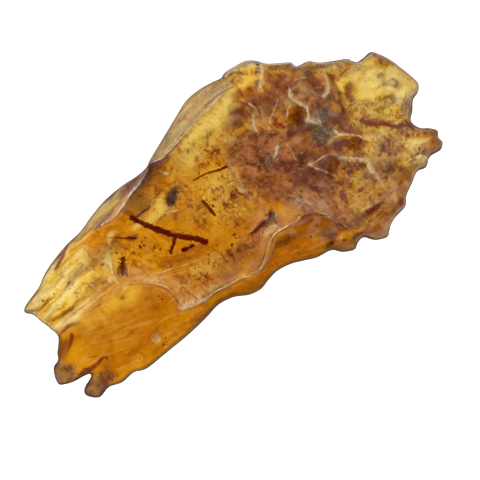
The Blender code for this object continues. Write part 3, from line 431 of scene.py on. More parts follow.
def add_mesh(name, points, face_sets, material):
    """One mesh object in metres from an array of points in millimetres and arrays of faces of one size
    each."""
    corners = np.concatenate([faces.ravel() for faces in face_sets])
    sizes = np.concatenate([np.full(len(faces), faces.shape[1]) for faces in face_sets])
    mesh = bpy.data.meshes.new(name)
    mesh.vertices.add(len(points))
    mesh.vertices.foreach_set("co", (np.asarray(points, float) * MM).ravel())
    mesh.loops.add(len(corners))
    mesh.loops.foreach_set("vertex_index", corners.astype(np.int32))
    mesh.polygons.add(len(sizes))
    mesh.polygons.foreach_set("loop_start", np.concatenate([[0], np.cumsum(sizes)[:-1]]).astype(np.int32))
    mesh.update(calc_edges=True)
    mesh.shade_smooth()
    mesh.materials.append(material)
    piece = bpy.data.objects.new(name, mesh)
    bpy.context.scene.collection.objects.link(piece)
    return piece


def add_mask(piece, name, values):
    """Stores one number for each point of the piece, for its material to read."""
    mask = piece.data.attributes.new(name, "FLOAT", "POINT")
    mask.data.foreach_set("value", np.clip(values, 0, 1).astype(np.float32).ravel())


edge = edge_of_lump()
plan = plan_of_lump(edge, COLUMNS, ROWS)
east, north = plan[..., 0], plan[..., 1]
top, under, _, past_bevel, past_scar, to_edge = lump_heights(plan, edge)
lift = HEIGHT / top.max()
bent = plan + 0.7 * np.stack([mottle(plan, 2.3, 31), mottle(plan, 2.3, 32)], axis=-1)


def zone(*spots):
    """Share from 0 to 1 covered by flat-topped spots. A spot is given by its middle, half length, half
    width, turn and strength, and is a bell of the fourth power over its turned ellipse, read at points
    pushed about a little so that its border is uneven."""
    clear = np.ones(bent.shape[:-1])
    for x, y, long, wide, turn, strength in spots:
        angle = np.radians(turn)
        dx, dy = bent[..., 0] - x, bent[..., 1] - y
        along = (dx * np.cos(angle) + dy * np.sin(angle)) / long
        across = (dy * np.cos(angle) - dx * np.sin(angle)) / wide
        clear = clear * (1 - strength * np.exp(-((along**2 + across**2) ** 2)))
    return 1 - clear


def stroke(route, half_width, strength=1.0):
    """Share from 0 to 1 covered by a soft uneven line along a route."""
    return strength * np.exp(-((distance_to(bent, smooth_route(route, 4)) / half_width) ** 2))


# Cream-coloured clear spots, bright yellow ones, deep orange ones and warm brown ones
pale = zone(
    (-34.6, 6.9, 3.6, 0.95, 4, 0.95), (-29.0, 7.4, 1.9, 1.6, 30, 0.9), (-33.2, 4.2, 3.6, 0.45, 16, 1.0),
    (-29.8, 5.6, 2.0, 0.7, 20, 0.95), (-34.3, 0.9, 3.2, 0.75, 2, 1.0), (-30, 1.3, 2.6, 0.4, -3, 0.6),
    (-30.8, 9.6, 2.4, 0.6, 25, 0.7), (-24.5, 9.3, 1.8, 0.7, 15, 0.7), (-27.0, 10.1, 1.6, 0.5, 20, 0.5),
    (-17.8, 13.0, 3.0, 0.9, 15, 0.8), (5, 18.4, 6, 1.1, 14, 0.8), (11, 18.6, 3.6, 0.8, -4, 0.7),
    (2, 13.7, 4.2, 1.8, 25, 0.5), (8, 14.4, 4, 1.8, 22, 0.6), (12.5, 15.9, 2.6, 1.3, 0, 0.7),
    (-10.6, 6.9, 1.7, 0.6, 4, 0.5), (-8.3, 8.4, 0.9, 1.1, -20, 0.5), (-14.0, 6.8, 0.9, 0.6, 0, 0.6),
    (-21.4, 5.6, 1.8, 0.9, 60, 0.85), (-18.6, 7.6, 1.7, 0.6, 30, 0.6), (-25.2, 8.2, 1.5, 0.9, 0, 0.6),
    (-21.8, -0.2, 1.2, 0.45, 0, 0.5), (37.7, 0.3, 3.2, 2.4, 100, 1.0), (34.6, 3.2, 2.3, 1.9, 0, 0.9),
    (34, 6.3, 2.8, 1.1, 0, 0.5), (29.5, -4.5, 2.0, 0.8, -10, 0.75), (34.4, -11.0, 2.4, 2.2, 0, 1.0),
    (15.5, 19.0, 1.6, 0.8, 0, 0.7), (19.5, 18.6, 1.2, 0.8, 0, 0.7), (24.8, 14.8, 2.2, 0.5, -35, 0.6),
    (31.5, 10.2, 3.2, 0.5, -28, 0.6), (-23, -10.9, 0.7, 0.8, 30, 0.6), (8.5, 9.6, 1.6, 0.9, 0, 0.5),
    (4.9, 0.9, 0.7, 0.5, 0, 0.7),
)
yellow = zone(
    (2, 12.8, 6, 3.4, 20, 1.0), (9.5, 14, 6, 2.6, 20, 1.0), (-10.4, 6.9, 2.4, 1.0, 4, 1.0),
    (-8.2, 8.5, 1.2, 1.4, -20, 1.0), (1.5, 3.4, 4.6, 4.6, 0, 0.5), (22.5, -9.2, 2.2, 1.7, 0, 0.8),
    (22, -14.5, 6, 4, 0, 0.25), (31, 6, 2.5, 3, 0, 0.9), (29.5, 1, 2, 3, -30, 0.6),
    (33, -3, 3, 2.5, -50, 0.7), (28, -6.5, 3, 2, 0, 0.6), (-26, -1.6, 8, 1.7, -3, 0.35),
    (-27, -5, 9, 3, 8, 0.15), (35, 1, 7, 7.5, 0, 1.0), (-31, 5.6, 7.5, 4.6, 5, 1.0),
    (33, -11, 5, 4, 0, 0.7), (26, -15.5, 5, 3, 20, 0.25), (17, 18, 6, 3, -10, 0.8),
    (28, 12, 7, 1.6, -32, 0.6), (5, 18, 10, 2.4, 10, 1.0), (-20, 12.4, 12, 1.0, 10, 0.8),
    (12.8, 10, 1.0, 2.2, 0, 0.5), (-21, 5.0, 3, 3.4, 0, 0.5),
)
deep = zone(
    (16.0, 14.8, 1.3, 1.5, 20, 0.9), (25.6, -13.6, 2.2, 1.2, 40, 0.6), (-26, -7.5, 12, 4.6, 0, 0.7),
    (-20, -6.5, 4, 3, 0, 0.5), (-26, -11.2, 14, 2.2, -1, 0.5), (-4, -13, 10, 1.3, -3, 0.8),
    (8.5, -12.5, 7.5, 3.6, -10, 0.8), (13.0, -12.6, 3.0, 3.0, -30, 0.8), (-3.8, 13.3, 1.5, 0.9, 0, 0.9),
    (28.9, 0.9, 1.7, 1.5, 0, 0.95), (30.8, -1.8, 1.6, 1.2, -40, 0.8), (13.3, 12.0, 0.8, 1.2, 10, 0.9),
    (16.6, 14.2, 1.2, 1.3, 0, 0.8), (34.6, -8.7, 1.1, 0.5, 10, 0.9), (32.2, -3.6, 3.2, 0.8, -44, 0.85),
    (29.9, -0.6, 1.1, 0.9, 0, 0.8), (21.6, -16.8, 2.4, 0.8, -5, 0.7), (19.6, -17.8, 3.4, 1.4, -5, 0.75),
    (28.6, -15.4, 3.0, 1.5, 30, 0.8), (30.4, -11.4, 1.6, 2.6, 0, 0.5), (24.0, -6.4, 2.6, 1.0, -30, 0.5),
    (31.6, 8.4, 1.2, 0.8, -30, 0.7), (38.4, 6.9, 0.8, 0.8, 0, 0.6), (38.6, -11.2, 0.9, 1.4, 0, 0.8),
    (17.6, 13.2, 1.6, 1.0, 0, 0.5), (17.0, -15.4, 2.0, 1.4, 0, 0.5), (28.6, -13.6, 1.4, 1.6, 20, 0.6),
    (24.6, -3.0, 1.4, 0.6, -8, 0.8), (26.8, 4.8, 1.0, 0.6, 0, 0.7), (17.6, -3.0, 4.0, 1.6, 0, 0.35),
    (38.1, -9.9, 1.2, 0.8, -15, 0.7), (19.2, 17.0, 1.0, 0.8, 20, 0.6), (20, 12, 3.5, 2, 0, 0.5),
    (-7, -3, 5, 1.6, -12, 0.5), (1, -3.5, 2.4, 1.4, 0, 0.5),
)
brown = zone(
    (-37.4, -3.2, 1.9, 1.2, 50, 0.8), (-35, -0.6, 2.2, 0.35, 8, 0.9), (-33, 2.4, 3.8, 0.45, -2, 0.8),
    (-35.2, 5.3, 2.8, 0.3, 8, 0.8), (-31.0, 6.35, 1.6, 0.22, 12, 0.6), (-28.4, 0.25, 1.5, 0.22, -3, 0.7),
    (-26.6, 3.1, 3.6, 1.2, 0, 0.45), (-25, 6.6, 2.4, 0.9, 0, 0.45), (-23.4, -1.4, 0.6, 0.4, -20, 0.8),
    (-27.5, -10.5, 1.2, 0.6, 0, 0.35), (-23, -12.7, 3, 0.5, 0, 0.35), (-16, -12.2, 4, 0.9, 3, 0.3),
    (-10.2, 13.7, 4.0, 1.1, 8, 0.8), (-28, 10.6, 1.2, 0.6, 15, 0.8), (-24.6, 11.6, 2.2, 0.45, 12, 0.7),
    (-28.6, 11.1, 1.3, 0.35, 15, 0.9), (-26.0, 11.3, 1.6, 0.3, 12, 0.9), (-21.5, 12.0, 2.6, 0.4, 14, 0.6),
    (-31.5, 9.9, 1.4, 0.3, 20, 0.7), (-14.4, 14.0, 1.6, 0.5, 5, 0.6), (-4.6, 15.3, 2.0, 0.5, 25, 0.55),
    (-1, 16.5, 3.4, 0.8, 22, 0.55), (-15.6, 6.0, 1.3, 0.6, -45, 0.9), (-10.8, 8.9, 2.4, 0.35, 10, 0.8),
    (-10.9, 10.4, 1.8, 1.3, 0, 0.35), (-13.5, 10, 0.7, 1.8, 10, 0.75), (-7.2, 12.6, 2.6, 1.2, 10, 0.55),
    (-9.6, 5.6, 1.6, 0.35, 10, 0.75), (-11.5, -2, 3.4, 1.0, -15, 0.4), (-6, -7.5, 2.2, 1.4, 0, 0.35),
    (12.0, 12.4, 2.4, 2.0, 0, 0.9), (16.2, 13.4, 1.2, 1.6, 10, 0.8), (17.8, 10.8, 2.6, 2.4, 0, 0.7),
    (20.6, 7.2, 1.3, 1.2, 0, 0.8), (16, -4.2, 4, 2.6, -10, 0.85), (18, -6.7, 2.2, 1.6, 0, 0.8),
    (26.3, 5.2, 1.5, 0.9, 0, 0.6), (24.8, -2.8, 1.7, 0.7, 0, 0.8), (29.3, -6.9, 1.0, 0.6, 0, 0.7),
    (12, -10.2, 4, 1.4, -32, 0.35), (38.3, -3.9, 1.7, 1.1, 30, 0.85), (38.3, 6.5, 0.7, 0.6, 0, 0.6),
    (32.2, 7.5, 1.0, 0.22, 0, 0.9), (37.9, 4.8, 1.2, 0.7, 0, 0.5), (29.5, 5.2, 0.35, 3.0, -3, 0.75),
    (28.7, -10.6, 1.5, 1.5, 0, 0.65), (20, -15.2, 3.2, 1.0, 0, 0.8), (31.5, -6.2, 1.6, 0.8, -30, 0.5),
    (24.6, 9.6, 2.6, 1.6, 0, 0.5), (8.5, 7.4, 2.4, 1.6, -20, 0.5), (3.4, -7, 3.4, 1.2, 5, 0.5),
    (30.5, -13.8, 2.4, 0.7, 30, 0.5), (15.5, -17.6, 2.4, 0.7, -10, 0.4), (36.6, 8.0, 1.6, 0.4, 0, 0.6),
    (26.5, -13.0, 2.6, 1.6, 30, 0.5), (31.6, -7.0, 2.4, 1.4, -20, 0.5), (24.5, -16.8, 3.0, 1.0, 20, 0.5),
    (18.2, -12.8, 1.6, 2.4, 10, 0.6), (23.6, -10.2, 1.6, 0.8, 20, 0.5), (30.6, 2.0, 1.0, 2.6, 5, 0.4),
    (9.5, -14.5, 3.5, 0.9, -12, 0.3), (6.5, -10.2, 2.6, 0.9, 10, 0.3), (-39.8, -6.0, 1.8, 1.2, 0, 0.6),
    (-36.4, -11.8, 2.0, 1.2, 10, 0.5), (-22.9, -10.3, 1.3, 1.0, 20, 0.5), (33.6, 4.6, 0.7, 0.5, 0, 0.5),
    (31.3, 4.6, 1.0, 1.1, 0, 0.55), (36.0, 5.4, 1.5, 0.6, -20, 0.45), (35.7, 1.5, 0.9, 0.8, 40, 0.4),
    (35.4, -1.6, 2.0, 1.0, -30, 0.5), (33.0, -0.4, 1.0, 1.6, 0, 0.4), (38.7, -2.9, 1.9, 0.7, 25, 0.8),
    (21.0, -18.6, 2.2, 1.2, 0, 0.6), (26.4, -16.8, 2.8, 1.2, 20, 0.55), (15.0, -17.4, 2.4, 1.0, 0, 0.4),
    (33.0, -13.6, 2.2, 0.7, 15, 0.6), (38.6, -12.6, 0.9, 0.7, 0, 0.6), (19.4, 19.3, 2.0, 0.5, -15, 0.4),
    (8.4, 5.2, 1.2, 2.6, 0, 0.4), (22.0, 9.0, 1.0, 2.0, 0, 0.3), (24.0, -0.8, 4.0, 1.6, -10, 0.35),
    (40.6, 2.4, 0.55, 3.6, 14, 0.6), (39.2, 5.4, 0.9, 1.6, 20, 0.45), (35.2, 0.4, 1.3, 0.7, 20, 0.35),
    (22.6, -14.8, 3.4, 2.4, 0, 0.45), (19.0, -17.6, 2.2, 1.2, 30, 0.5), (29.0, -12.6, 1.8, 2.4, 10, 0.55),
    (30.0, -9.0, 2.2, 2.0, 0, 0.45), (26.0, -4.6, 1.6, 1.2, 0, 0.5), (21.6, -8.2, 1.4, 1.0, 0, 0.35),
    (-5.3, -9.2, 2.4, 0.7, -5, 0.35), (32.4, 0.6, 0.8, 1.2, 0, 0.3), (34.0, -5.2, 1.4, 0.8, -40, 0.5),
)
# Dark maroon stains and hollows, with one painted shadow over the beetle, and cracks stained alike: half
# width, strength, route
stain = zone(
    (24.6, -2.9, 1.6, 0.7, -8, 0.7), (17.2, -4.9, 1.4, 0.9, 0, 0.6), (32.0, -9.0, 1.2, 1.0, 30, 0.5),
    (30.2, -12.6, 0.8, 1.2, 20, 0.6), (26.6, -17.0, 1.2, 0.5, 20, 0.6), (12.0, 12.0, 1.8, 1.6, 0, 0.6),
    (18.6, -17.4, 0.9, 0.5, 30, 0.5), (23.6, -17.6, 1.0, 0.4, 10, 0.5), (37.0, -12.6, 0.5, 0.7, 0, 0.6),
    (-40.4, -4.6, 0.7, 0.5, 40, 0.95), (-41.3, -6.4, 0.5, 1.2, -20, 0.7), (-38.6, -8.3, 1.2, 0.3, -5, 0.8),
    (-38.8, -4.1, 0.9, 0.35, 20, 0.7), (-37.4, -10.3, 1.0, 0.3, -5, 0.7),
    (-38.6, -11.6, 0.35, 0.9, 10, 0.6), (-40.2, -7.6, 0.9, 0.35, -15, 0.95), (-39, -6.9, 0.5, 0.5, 0, 0.8),
    (-36.8, -7.9, 1.4, 0.45, 0, 0.9), (-34.8, -8.2, 1.6, 0.5, 0, 0.95), (-33, -8.5, 0.9, 0.45, -10, 0.95),
    (-28.3, 10.5, 1.2, 0.5, 20, 0.9), (-29.3, 9.9, 0.8, 0.4, 10, 0.7), (-26.2, 11.2, 1.8, 0.3, 12, 0.8),
    (-18.0, 12.0, 4.0, 0.3, 8, 0.55), (-10.2, 13.8, 3.8, 1.0, 6, 0.8), (-1.0, 16.4, 2.6, 0.5, 24, 0.4),
    (-32, -9.1, 0.3, 0.5, 0, 0.8), (-35.6, -11.7, 1.2, 0.9, 30, 0.85), (-33.6, -11, 1.4, 1.1, 0, 0.65),
    (-36.6, -12.8, 0.8, 0.4, 0, 0.7), (-35.4, -2.5, 1.0, 0.42, 45, 0.8), (-36.4, -3.4, 0.9, 0.36, 45, 0.7),
    (-37.2, -2.6, 0.8, 0.4, 60, 0.4), (-38.2, 5.2, 0.25, 1.6, 15, 0.6), (-35.0, 6.0, 0.28, 0.24, 0, 0.8),
    (-32.5, 6.3, 0.24, 0.2, 0, 0.6), (-5.7, 13.9, 0.5, 0.35, 20, 0.9), (-15.2, 5.8, 0.8, 0.35, -35, 0.7),
    # The first spot on the next line, over the beetle, is a painted shadow of it
    (-5.0, 7.9, 1.9, 0.8, 30, 0.35), (15.0, 12.3, 0.45, 1.5, -5, 0.9), (13.4, 13.0, 1.0, 0.4, 0, 0.6),
    (19.5, 6.4, 0.6, 0.45, 30, 0.95), (18.0, 5.4, 0.6, 0.7, 20, 0.9), (16.8, 4.2, 1.3, 0.7, -10, 0.65),
    (19.3, 3.9, 1.6, 0.9, -10, 0.7), (27.6, 2.1, 0.8, 0.6, 0, 0.95), (25.6, 2.2, 1.9, 0.8, -20, 0.8),
    (27.4, 0.6, 0.5, 0.8, 0, 0.8), (23.3, -3.0, 0.4, 0.9, 0, 0.9), (25.6, -3.5, 1.3, 0.25, -5, 0.85),
    (21.2, -4.9, 1.3, 0.45, 55, 0.95), (20.4, -6.1, 0.5, 0.4, 50, 0.8), (16.5, -3.1, 0.8, 0.6, 0, 0.8),
    (12.1, 1.0, 0.8, 0.6, 0, 0.65), (10.0, -2.6, 0.8, 0.6, 0, 0.5), (7.0, -4.5, 0.6, 0.5, 0, 0.8),
    (19.4, -9.6, 0.45, 1.3, 0, 0.8), (22.2, -11.3, 1.0, 0.36, -15, 0.95), (22.2, -15.5, 1.4, 0.5, 0, 0.85),
    (29.8, -9.3, 0.6, 0.35, 20, 0.9), (28.5, -8.0, 0.4, 0.3, 0, 0.7), (15.8, -13.0, 0.5, 1.4, 12, 0.75),
    (12.6, -14.4, 0.9, 0.4, -30, 0.4), (12.8, -15.8, 0.4, 0.3, 0, 0.7), (19.0, -14.6, 1.2, 0.5, 0, 0.6),
    (23.6, -2.2, 1.2, 0.3, -8, 0.85), (22.7, -3.2, 0.35, 0.7, 10, 0.95), (20.2, 4.3, 1.2, 0.5, -25, 0.9),
    (17.3, 4.7, 0.8, 0.6, 10, 0.9), (26.5, 1.5, 1.3, 0.6, -25, 0.9), (14.8, -3.9, 1.6, 0.8, -10, 0.6),
    (10.4, 12.0, 0.3, 0.8, 0, 0.5), (11.6, 13.4, 1.4, 0.6, -10, 0.8), (10.8, 11.6, 0.9, 0.9, 0, 0.6),
    (14.4, 13.6, 0.8, 0.6, 0, 0.7), (21.4, -16.0, 1.6, 0.35, -5, 0.8), (16.0, -14.2, 0.9, 1.1, 10, 0.75),
    (28.0, -14.0, 1.1, 0.7, 30, 0.7), (30.6, -2.0, 0.8, 0.5, -45, 0.9), (37.4, -7.2, 0.8, 0.4, -40, 0.8),
    (35.0, -8.5, 0.7, 0.35, 10, 0.7), (26.8, 9.0, 1.1, 0.8, 0, 0.6), (24.4, 6.4, 0.8, 0.5, 30, 0.6),
    (18.0, 12.4, 1.2, 0.5, 20, 0.5), (13.2, -0.8, 1.2, 0.5, -20, 0.6), (18.6, -0.4, 0.9, 0.4, 15, 0.6),
    (27.2, -10.2, 0.4, 1.3, 10, 0.7), (33.0, -12.4, 0.8, 0.4, 20, 0.6), (37.4, -11.6, 0.4, 0.9, 10, 0.6),
    (2.4, 10.1, 0.4, 0.7, 20, 0.6), (5.6, 11.8, 0.35, 1.5, -32, 0.45), (6.8, 12.3, 0.5, 0.3, 0, 0.5),
    (-3.0, -6.5, 0.4, 1.0, -5, 0.6), (14.8, -16.8, 0.9, 0.35, -20, 0.6),
)
cracks = [
    (0.6, 0.95, [(29.6, -1.2), (30.6, -2.4), (31.6, -3.5), (33.2, -5.0), (35.2, -6.2), (36.6, -7.2)]),
    (0.16, 0.6, [(-18.6, 8.2), (-16.6, 6.6), (-15.0, 5.4)]), (0.16, 0.8, [(-34.6, -6.4), (-33.4, -7.1)]),
    (0.13, 0.5, [(-8.2, -1.9), (-7.4, -2.8)]), (0.13, 0.55, [(-7.6, -1.6), (-6.7, -2.8)]),
    (0.13, 0.5, [(-6.9, -1.7), (-6.1, -3.0)]), (0.12, 0.4, [(-6.2, -2.0), (-5.5, -3.2)]),
    (0.28, 0.85, [(2.0, -5.7), (3.6, -5.5), (5.0, -5.4)]),
    (0.3, 0.6, [(-14.2, 10.8), (-13.6, 9.4), (-13.2, 8.0)]),
    (0.2, 0.5, [(12.2, -4.2), (14.0, -2.6), (16.8, -2.2)]),
    (0.22, 0.7, [(8.4, 17.4), (11.0, 17.5), (14.2, 17.2)]),
    (0.15, 0.6, [(1.0, 15.3), (3.0, 15.7), (4.8, 15.9)]),
    (0.2, 0.5, [(14.9, 14.6), (15.0, 17.0), (14.4, 19.4)]),
]
# Dull pinkish-brown crust, and grey-brown glassy patches in it
crust = zone(
    (12, 3, 4.6, 6.2, 0, 0.9), (17.5, 0, 6, 4.4, -10, 0.95), (25, 7.5, 3.8, 4.6, 0, 0.9),
    (2.2, -7.2, 6.5, 2.2, 5, 0.75), (15.0, -6.4, 3.8, 3.0, -20, 0.8), (21, 12.6, 3.6, 2.4, -25, 0.6),
    (16.8, -10.8, 1.6, 3.6, 18, 0.8), (25.2, -8.5, 1.5, 4.2, 5, 0.7), (7.8, 4.5, 2.0, 4.4, 5, 0.55),
    (26.2, 12.2, 2.4, 1.3, -32, 0.55), (-22, 7.4, 3.2, 1.2, 0, 0.35), (-23, -10.6, 0.9, 0.7, 0, 0.5),
    (-18.6, 1.2, 2.6, 0.9, -35, 0.5), (33, 8.6, 2.0, 0.8, -30, 0.5), (31.6, -7.8, 1.6, 1.2, 0, 0.45),
)
grey = zone(
    (22.8, 1.4, 2.7, 2.2, 30, 1.0), (20.8, 4.0, 2.8, 0.9, -15, 0.95), (24.9, 3.0, 2.6, 0.9, -25, 0.95),
    (15.0, 11.6, 0.7, 1.8, -5, 0.7), (22.0, -4.6, 1.6, 0.6, 60, 0.8), (17.2, 5.0, 0.9, 0.7, 0, 0.6),
    (-5.4, 8.0, 2.3, 1.2, 28, 0.6), (-8.6, 5.9, 1.8, 0.45, 30, 0.5), (12.6, 2.4, 1.6, 0.5, 30, 0.5),
    (38.6, -3.6, 1.0, 0.6, 30, 0.4),
)
# Olive-brown patches of clear resin over older, darker resin
olive = zone(
    (-36.6, -11.2, 2.6, 1.4, 20, 0.95), (-33.8, -10.9, 1.6, 1.1, 0, 0.6), (-39.8, -6.1, 1.8, 1.4, 10, 0.8),
    (-10.8, 10.4, 2.2, 1.4, 10, 0.75), (-18.6, 12.8, 3.0, 0.9, 14, 0.35), (22.6, 0.4, 1.4, 1.4, 0, 0.85),
    (26.4, 5.8, 1.6, 1.2, 0, 0.6), (31.5, 10.4, 3.4, 0.6, -28, 0.6), (25.4, 14.0, 2.0, 1.0, -30, 0.4),
    (-36.5, 8.2, 1.8, 0.4, 15, 0.6), (33.2, 6.6, 1.6, 0.6, 0, 0.25), (31.6, 4.4, 1.0, 1.0, 0, 0.6),
    (7.5, 18.9, 7.0, 0.9, 12, 0.3),
)
# White lines where ridges and lips are rubbed, their brightness a painted highlight where they catch the
# light: half width, strength, route
rubbed_and_highlit = [
    (0.30, 0.9, [(22.2, 10.8), (21.8, 9.6), (22.0, 8.0), (22.6, 6.5), (22.2, 5.0), (21.7, 4.2)]),
    (0.42, 0.8, [(21.7, 4.4), (22.2, 3.5), (23.0, 3.1)]),
    (0.3, 0.9, [(24.6, 0.3), (24.8, -0.8), (26.0, -1.8)]),
    (0.25, 0.6, [(26.0, -1.8), (27.0, -2.8), (27.8, -3.8)]), (0.7, 0.55, [(22.6, -1.0), (24.2, -0.9)]),
    (0.24, 0.85, [(17.4, -1.9), (20.4, -2.4), (21.8, -3.2), (22.3, -4.4)]),
    (0.32, 0.9, [(22.2, -4.2), (23.5, -5.3)]),
    (0.36, 0.75, [(23.5, -5.3), (25.0, -6.3), (25.7, -7.4), (25.7, -9.2), (25.6, -11.2)]),
    (0.2, 0.6, [(17.5, -2.2), (18.6, -4.6), (19.8, -6.2)]),
    (0.2, 0.55, [(19.0, 7.2), (19.8, 8.2), (20.9, 8.6)]),
    (0.24, 0.95, [(12.9, 2.5), (13.9, 3.0), (14.6, 3.8)]),
    (0.16, 0.6, [(15.9, 0.2), (16.2, 2.5), (16.0, 3.4)]),
    (0.22, 0.95, [(15.4, 10.8), (15.6, 11.8), (15.3, 12.9)]),
    (0.32, 0.7, [(14.6, 11.0), (13.8, 9.7), (13.3, 8.4)]),
    (0.34, 0.7, [(18.4, 13.6), (18.6, 14.6), (19.6, 15.6), (20.6, 16.6), (20.8, 17.4)]),
    (0.34, 0.85, [(26.2, 6.4), (27.2, 6.2), (27.9, 6.9)]),
    (0.4, 0.5, [(28.0, 6.8), (28.6, 8.0), (28.9, 8.9)]),
    (0.16, 0.5, [(15.0, 7.2), (16.5, 8.6), (18.4, 9.8), (19.6, 10.6)]),
    (0.16, 0.5, [(23.3, 11.5), (24.6, 11.3), (25.8, 10.7)]),
    (0.16, 0.7, [(6.2, 6.2), (5.8, 4.6), (5.8, 2.4)]), (0.2, 0.5, [(4.6, 1.6), (4.8, 0.6)]),
    (0.16, 0.6, [(4.1, -8.2), (4.4, -7.1), (5.3, -6.9), (6.3, -7.2), (6.6, -8.0)]),
    (0.16, 0.5, [(11.2, -4.4), (12.0, -5.2), (11.9, -6.0), (13.0, -6.3), (13.4, -7.4), (14.4, -8.0)]),
    (0.2, 0.65, [(11.3, -7.0), (12.5, -6.8), (13.3, -7.8)]), (0.4, 0.9, [(-23.2, 2.5), (-22.8, 2.7)]),
    (0.18, 0.7, [(-22.4, 1.0), (-22.0, 3.3), (-20.9, 5.4)]),
    (0.14, 0.5, [(-15.8, -1.8), (-12.0, -3.0), (-9.0, -3.9), (-5.2, -4.6)]),
    (0.13, 0.4, [(-16, -2.8), (-12.5, -3.8), (-9, -4.8)]),
    (0.2, 0.6, [(-8.2, 6.0), (-7.0, 5.6), (-6.2, 5.1)]), (0.2, 0.5, [(-4.8, 12.6), (-4.0, 11.5)]),
    (0.14, 0.4, [(-37.3, 1.85), (-33.0, 1.75), (-29.0, 1.45), (-24.0, 0.8), (-22.4, 0.2)]),
    (0.16, 0.3, [(-20.8, 0.9), (-19.0, -0.6), (-17.3, -2.4)]),
    (0.16, 0.45, [(-17.6, -2.4), (-16.0, -4.8), (-15.7, -7.4)]),
    (0.11, 0.85, [(-15.9, -9.2), (-13.5, -10.05), (-10.0, -10.45), (-6.0, -10.85), (-2.5, -11.6)]),
    (0.15, 0.9, [(-0.2, -11.6), (1.5, -10.7), (3.0, -9.5), (4.4, -8.7), (6.0, -8.4)]),
    (0.18, 0.7, [(6.0, -8.4), (8.0, -8.6), (9.2, -8.9), (10.6, -8.6)]),
    (0.2, 0.75, [(13.6, -9.6), (14.8, -11.2), (15.6, -13.0)]),
    (0.16, 0.95, [(-18.6, 10.9), (-15.6, 11.05), (-13.4, 11.4)]),
    (0.24, 0.95, [(-13.4, 11.4), (-10.7, 12.4), (-8.0, 13.4), (-6.1, 14.4)]),
    (0.16, 0.9, [(-4.6, 14.5), (-2.8, 14.1), (-1.6, 14.5), (0.2, 15.0), (2.4, 15.4), (4.8, 15.7)]),
    (0.18, 0.8, [(8.2, 16.4), (10.4, 17.0), (12.6, 17.2)]),
    (0.15, 0.5, [(5.2, 15.9), (7.0, 16.2), (8.6, 16.6)]),
]
# Milky bruised spots, mostly along the lip of the scar, with painted pinkish sheen where its slope mirrors
# the light
frost_and_sheen = zone(
    (-12.8, -9.3, 3.0, 0.8, -8, 1.0), (-8, -10.1, 3.4, 0.45, -5, 0.7), (-15.4, -8.6, 0.9, 0.7, 0, 0.8),
    (-2.4, -11.0, 2.6, 0.4, -6, 0.5), (5.4, -7.6, 1.3, 0.6, 0, 0.6), (4.7, 1.1, 0.9, 0.7, 20, 0.7),
    (-22.9, 2.7, 0.6, 0.4, 40, 0.9), (12.6, -6.2, 1.8, 1.8, 0, 0.5), (19.6, 15.4, 1.8, 0.7, 55, 0.55),
    (23.8, -0.9, 1.0, 0.35, 0, 0.8), (22.5, 3.4, 1.0, 0.5, -35, 0.8), (27.4, 6.6, 1.3, 0.5, 20, 0.5),
    (-17.0, -2.4, 2.0, 0.5, -55, 0.4), (13.6, 9.4, 0.4, 1.2, -20, 0.7), (24.6, -6.4, 1.6, 0.5, -35, 0.5),
    (25.8, -9.6, 0.5, 2.2, 0, 0.5), (14.0, 3.2, 1.2, 0.3, 30, 0.6), (29.9, -8.9, 0.6, 0.3, 10, 0.6),
    (21.6, -14.7, 1.8, 0.35, -5, 0.5), (-30.6, 10.4, 1.6, 0.4, 20, 0.3),
)


def beside(lines):
    """For lines given by half width, strength and route: how near each point is to the nearest of them,
    from 0 to its strength, and on which side: a half on the line, and an eighth more or less for each half
    width."""
    place = plan + 0.35 * (bent - plan)
    nearest, side, strength_there = np.full(place.shape[:-1], np.inf), np.zeros(place.shape[:-1]), 0.0
    for half_width, strength, route in lines:
        route = smooth_route(route, 4)
        for start, run in zip(route[:-1], np.diff(route, axis=0)):
            gap = place - start - np.clip(((place - start) @ run) / (run @ run), 0, 1)[..., None] * run
            away = np.linalg.norm(gap, axis=-1) / half_width
            closer = away < nearest
            side = np.where(closer, np.copysign(away, run[0] * gap[..., 1] - run[1] * gap[..., 0]), side)
            strength_there = np.where(closer, strength, strength_there)
            nearest = np.minimum(away, nearest)
    return strength_there * np.exp(-((nearest / 2.4) ** 2)), 0.5 + side / 8


web, web_side = beside(rubbed_and_highlit)
crack, crack_side = beside(cracks)
# Calm resin over the plants and insects, so that they show through it: half width, strength, route
inclusions = [
    (1.3, 0.55, [(-13.6, 9.6), (-11.2, 5.0), (-9.4, 2.4), (-5.2, -2.0)]),
    (2.2, 1.0, [(-20.6, 2.2), (-18.9, 4.1)]), (1.6, 0.9, [(-18.2, 8.0), (-15.0, 5.6)]),
    (2.0, 0.8, [(-9.6, -0.9), (-7.4, -1.4)]), (1.4, 1.0, [(-1.2, 5.2), (-1.6, -0.2)]),
    (1.2, 1.0, [(-0.8, 7.9), (2.6, 7.1), (6.2, 6.1)]), (1.8, 0.3, [(-6.4, 7.4), (-4.2, 8.6)]),
    (1.6, 0.8, [(6.2, -5.0), (7.4, -4.6)]), (1.2, 0.8, [(2.0, -5.8), (5.2, -5.3)]),
]
over_each = [stroke(route, half_width, strength) for half_width, strength, route in inclusions]
over_inclusion = np.max(over_each, axis=0)
